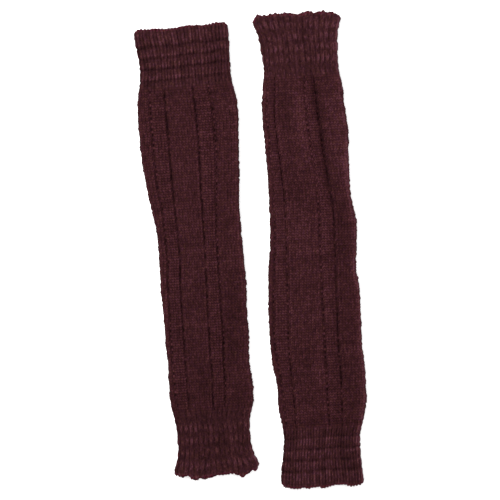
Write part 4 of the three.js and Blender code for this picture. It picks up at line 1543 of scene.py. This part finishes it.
# The fibres' high tone is a painted highlight, for the light that loose fuzz catches.
FIBRE_HIGHLIGHT_TONE = 0.75
LOWEST_NORMAL = -0.2


def outside_points(piece):
    """The points and normals of a shell's outer wall, without its underside."""
    count = piece["outer_points"]
    places, normals = np.empty(len(piece.data.vertices) * 3), np.empty(len(piece.data.vertices) * 3)
    piece.data.vertices.foreach_get("co", places)
    piece.data.vertices.foreach_get("normal", normals)
    places, normals = places.reshape(-1, 3)[:count], normals.reshape(-1, 3)[:count]
    shows = normals[:, 2] > LOWEST_NORMAL
    return places[shows], normals[shows]


def fibre_lines(piece, count, rng):
    """Four points along each stray fibre, with a direction across it."""
    places, normals = outside_points(piece)
    chosen = rng.choice(len(places), count, replace=False)
    root, normal = places[chosen], normals[chosen]
    heading = unit(np.cross(normal, rng.normal(size=(count, 3))))
    sideways = np.cross(normal, heading)
    length = rng.uniform(*FIBRE_LENGTHS, (count, 1, 1))
    rise = rng.uniform(*FIBRE_RISES, (count, 1, 1)) * rng.uniform(*RISE_SHARES, (count, 1, 1))
    bend = rng.uniform(*FIBRE_BENDS, (count, 1, 1))
    share = np.linspace(0, 1, len(FIBRE_TAPER))[None, :, None]
    height = rise * np.sin(FIBRE_ARCH * math.pi * share) - FIBRE_ROOT * (1 - share)
    run = heading[:, None] * share + sideways[:, None] * bend * share**2
    return root[:, None] + length * run + normal[:, None] * height, sideways, normal


def fibre_mesh(lines, across, normal):
    """Thin closed tubes along the fibres, all in one mesh."""
    angle = 2 * math.pi * np.arange(FIBRE_SIDES) / FIBRE_SIDES
    turned = np.cos(angle)[:, None, None] * across + np.sin(angle)[:, None, None] * normal
    radius = FIBRE_RADIUS * FIBRE_TAPER[None, :, None, None]
    points = lines[:, :, None] + radius * turned.transpose(1, 0, 2)[:, None]
    points[..., 2] = np.maximum(points[..., 2], 0)
    ids = np.arange(points[..., 0].size).reshape(points.shape[:3])
    beside = np.roll(ids, -1, 2)
    walls = np.stack([ids[:, :-1], ids[:, 1:], beside[:, 1:], beside[:, :-1]], -1).reshape(-1, 4)
    ends = np.vstack([ids[:, 0, ::-1], ids[:, -1]])
    return points.reshape(-1, 3), walls.tolist() + ends.tolist()


def stray_fibres(name, pieces, seed):
    """The loose fibre ends on the outside of one leg warmer."""
    rng = np.random.default_rng(seed)
    parts = [fibre_lines(piece, FIBRES_A_PIECE[kind], rng) for piece, kind in pieces]
    lines, across, normal = (np.concatenate(group) for group in zip(*parts))
    points, faces = fibre_mesh(lines, across, normal)
    print(f"{name}: {len(lines)} fibres")
    return plain_piece(name, points, faces, FIBRE_HIGHLIGHT_TONE, leg_yarn)


fuzz = [
    stray_fibres(
        f"{warmer['name']}_stray_fibres",
        [(legs[i], "leg"), (knee_cuffs[i][0], "cuff"), (ankle_cuffs[i][0], "cuff")],
        seed=91 + i,
    )
    for i, warmer in enumerate((LEFT, RIGHT))
]

# %% [markdown]
# Each shell stands for one solid of the imported model, which it hides, and rides with its only
# body. The flat size of a knitted tube is its girth by its length, which is printed. Chains and
# stray fibres stand for no solid, and ride with the piece that they lie on.

# %% Tie the pieces to the imported model
MID_CUFF = 225


def girth(warmer, y):
    """The length of cloth round the tube at y, in metres."""
    left, right, height = fold_edges(warmer, np.array([float(y)]))
    return float((2 * (right - left - height) + math.pi * height)[0]) * MM


def declare(piece, goes_with, node, finish, width, length):
    """Ride a piece and what goes with it on the root body, hide its solid, and print its flat size.
    """
    for rider in (piece, goes_with):
        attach(rider, "root")
    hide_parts(node)
    print(f"{piece.name}: {width * 1000:.0f} mm round, {length * 1000:.0f} mm long")


for i, warmer in enumerate((LEFT, RIGHT)):
    side_name = warmer["name"]
    knee_seam, ankle_seam = warmer["knee_seam"], warmer["ankle_seam"]
    leg_size = girth(warmer, 0), (knee_seam - ankle_seam) * MM
    knee_size = girth(warmer, MID_CUFF), (warmer["knee_end"] - knee_seam) * MM
    ankle_size = girth(warmer, -MID_CUFF), (ankle_seam - warmer["ankle_end"]) * MM
    knee_node, ankle_node = f"{side_name}_knee_cuff", f"{side_name}_ankle_cuff"
    declare(legs[i], fuzz[i], f"{side_name}_leg", "leg_knit", *leg_size)
    declare(knee_cuffs[i][0], knee_chains[i], knee_node, "cuff_rib", *knee_size)
    declare(ankle_cuffs[i][0], ankle_chains[i], ankle_node, "cuff_rib", *ankle_size)
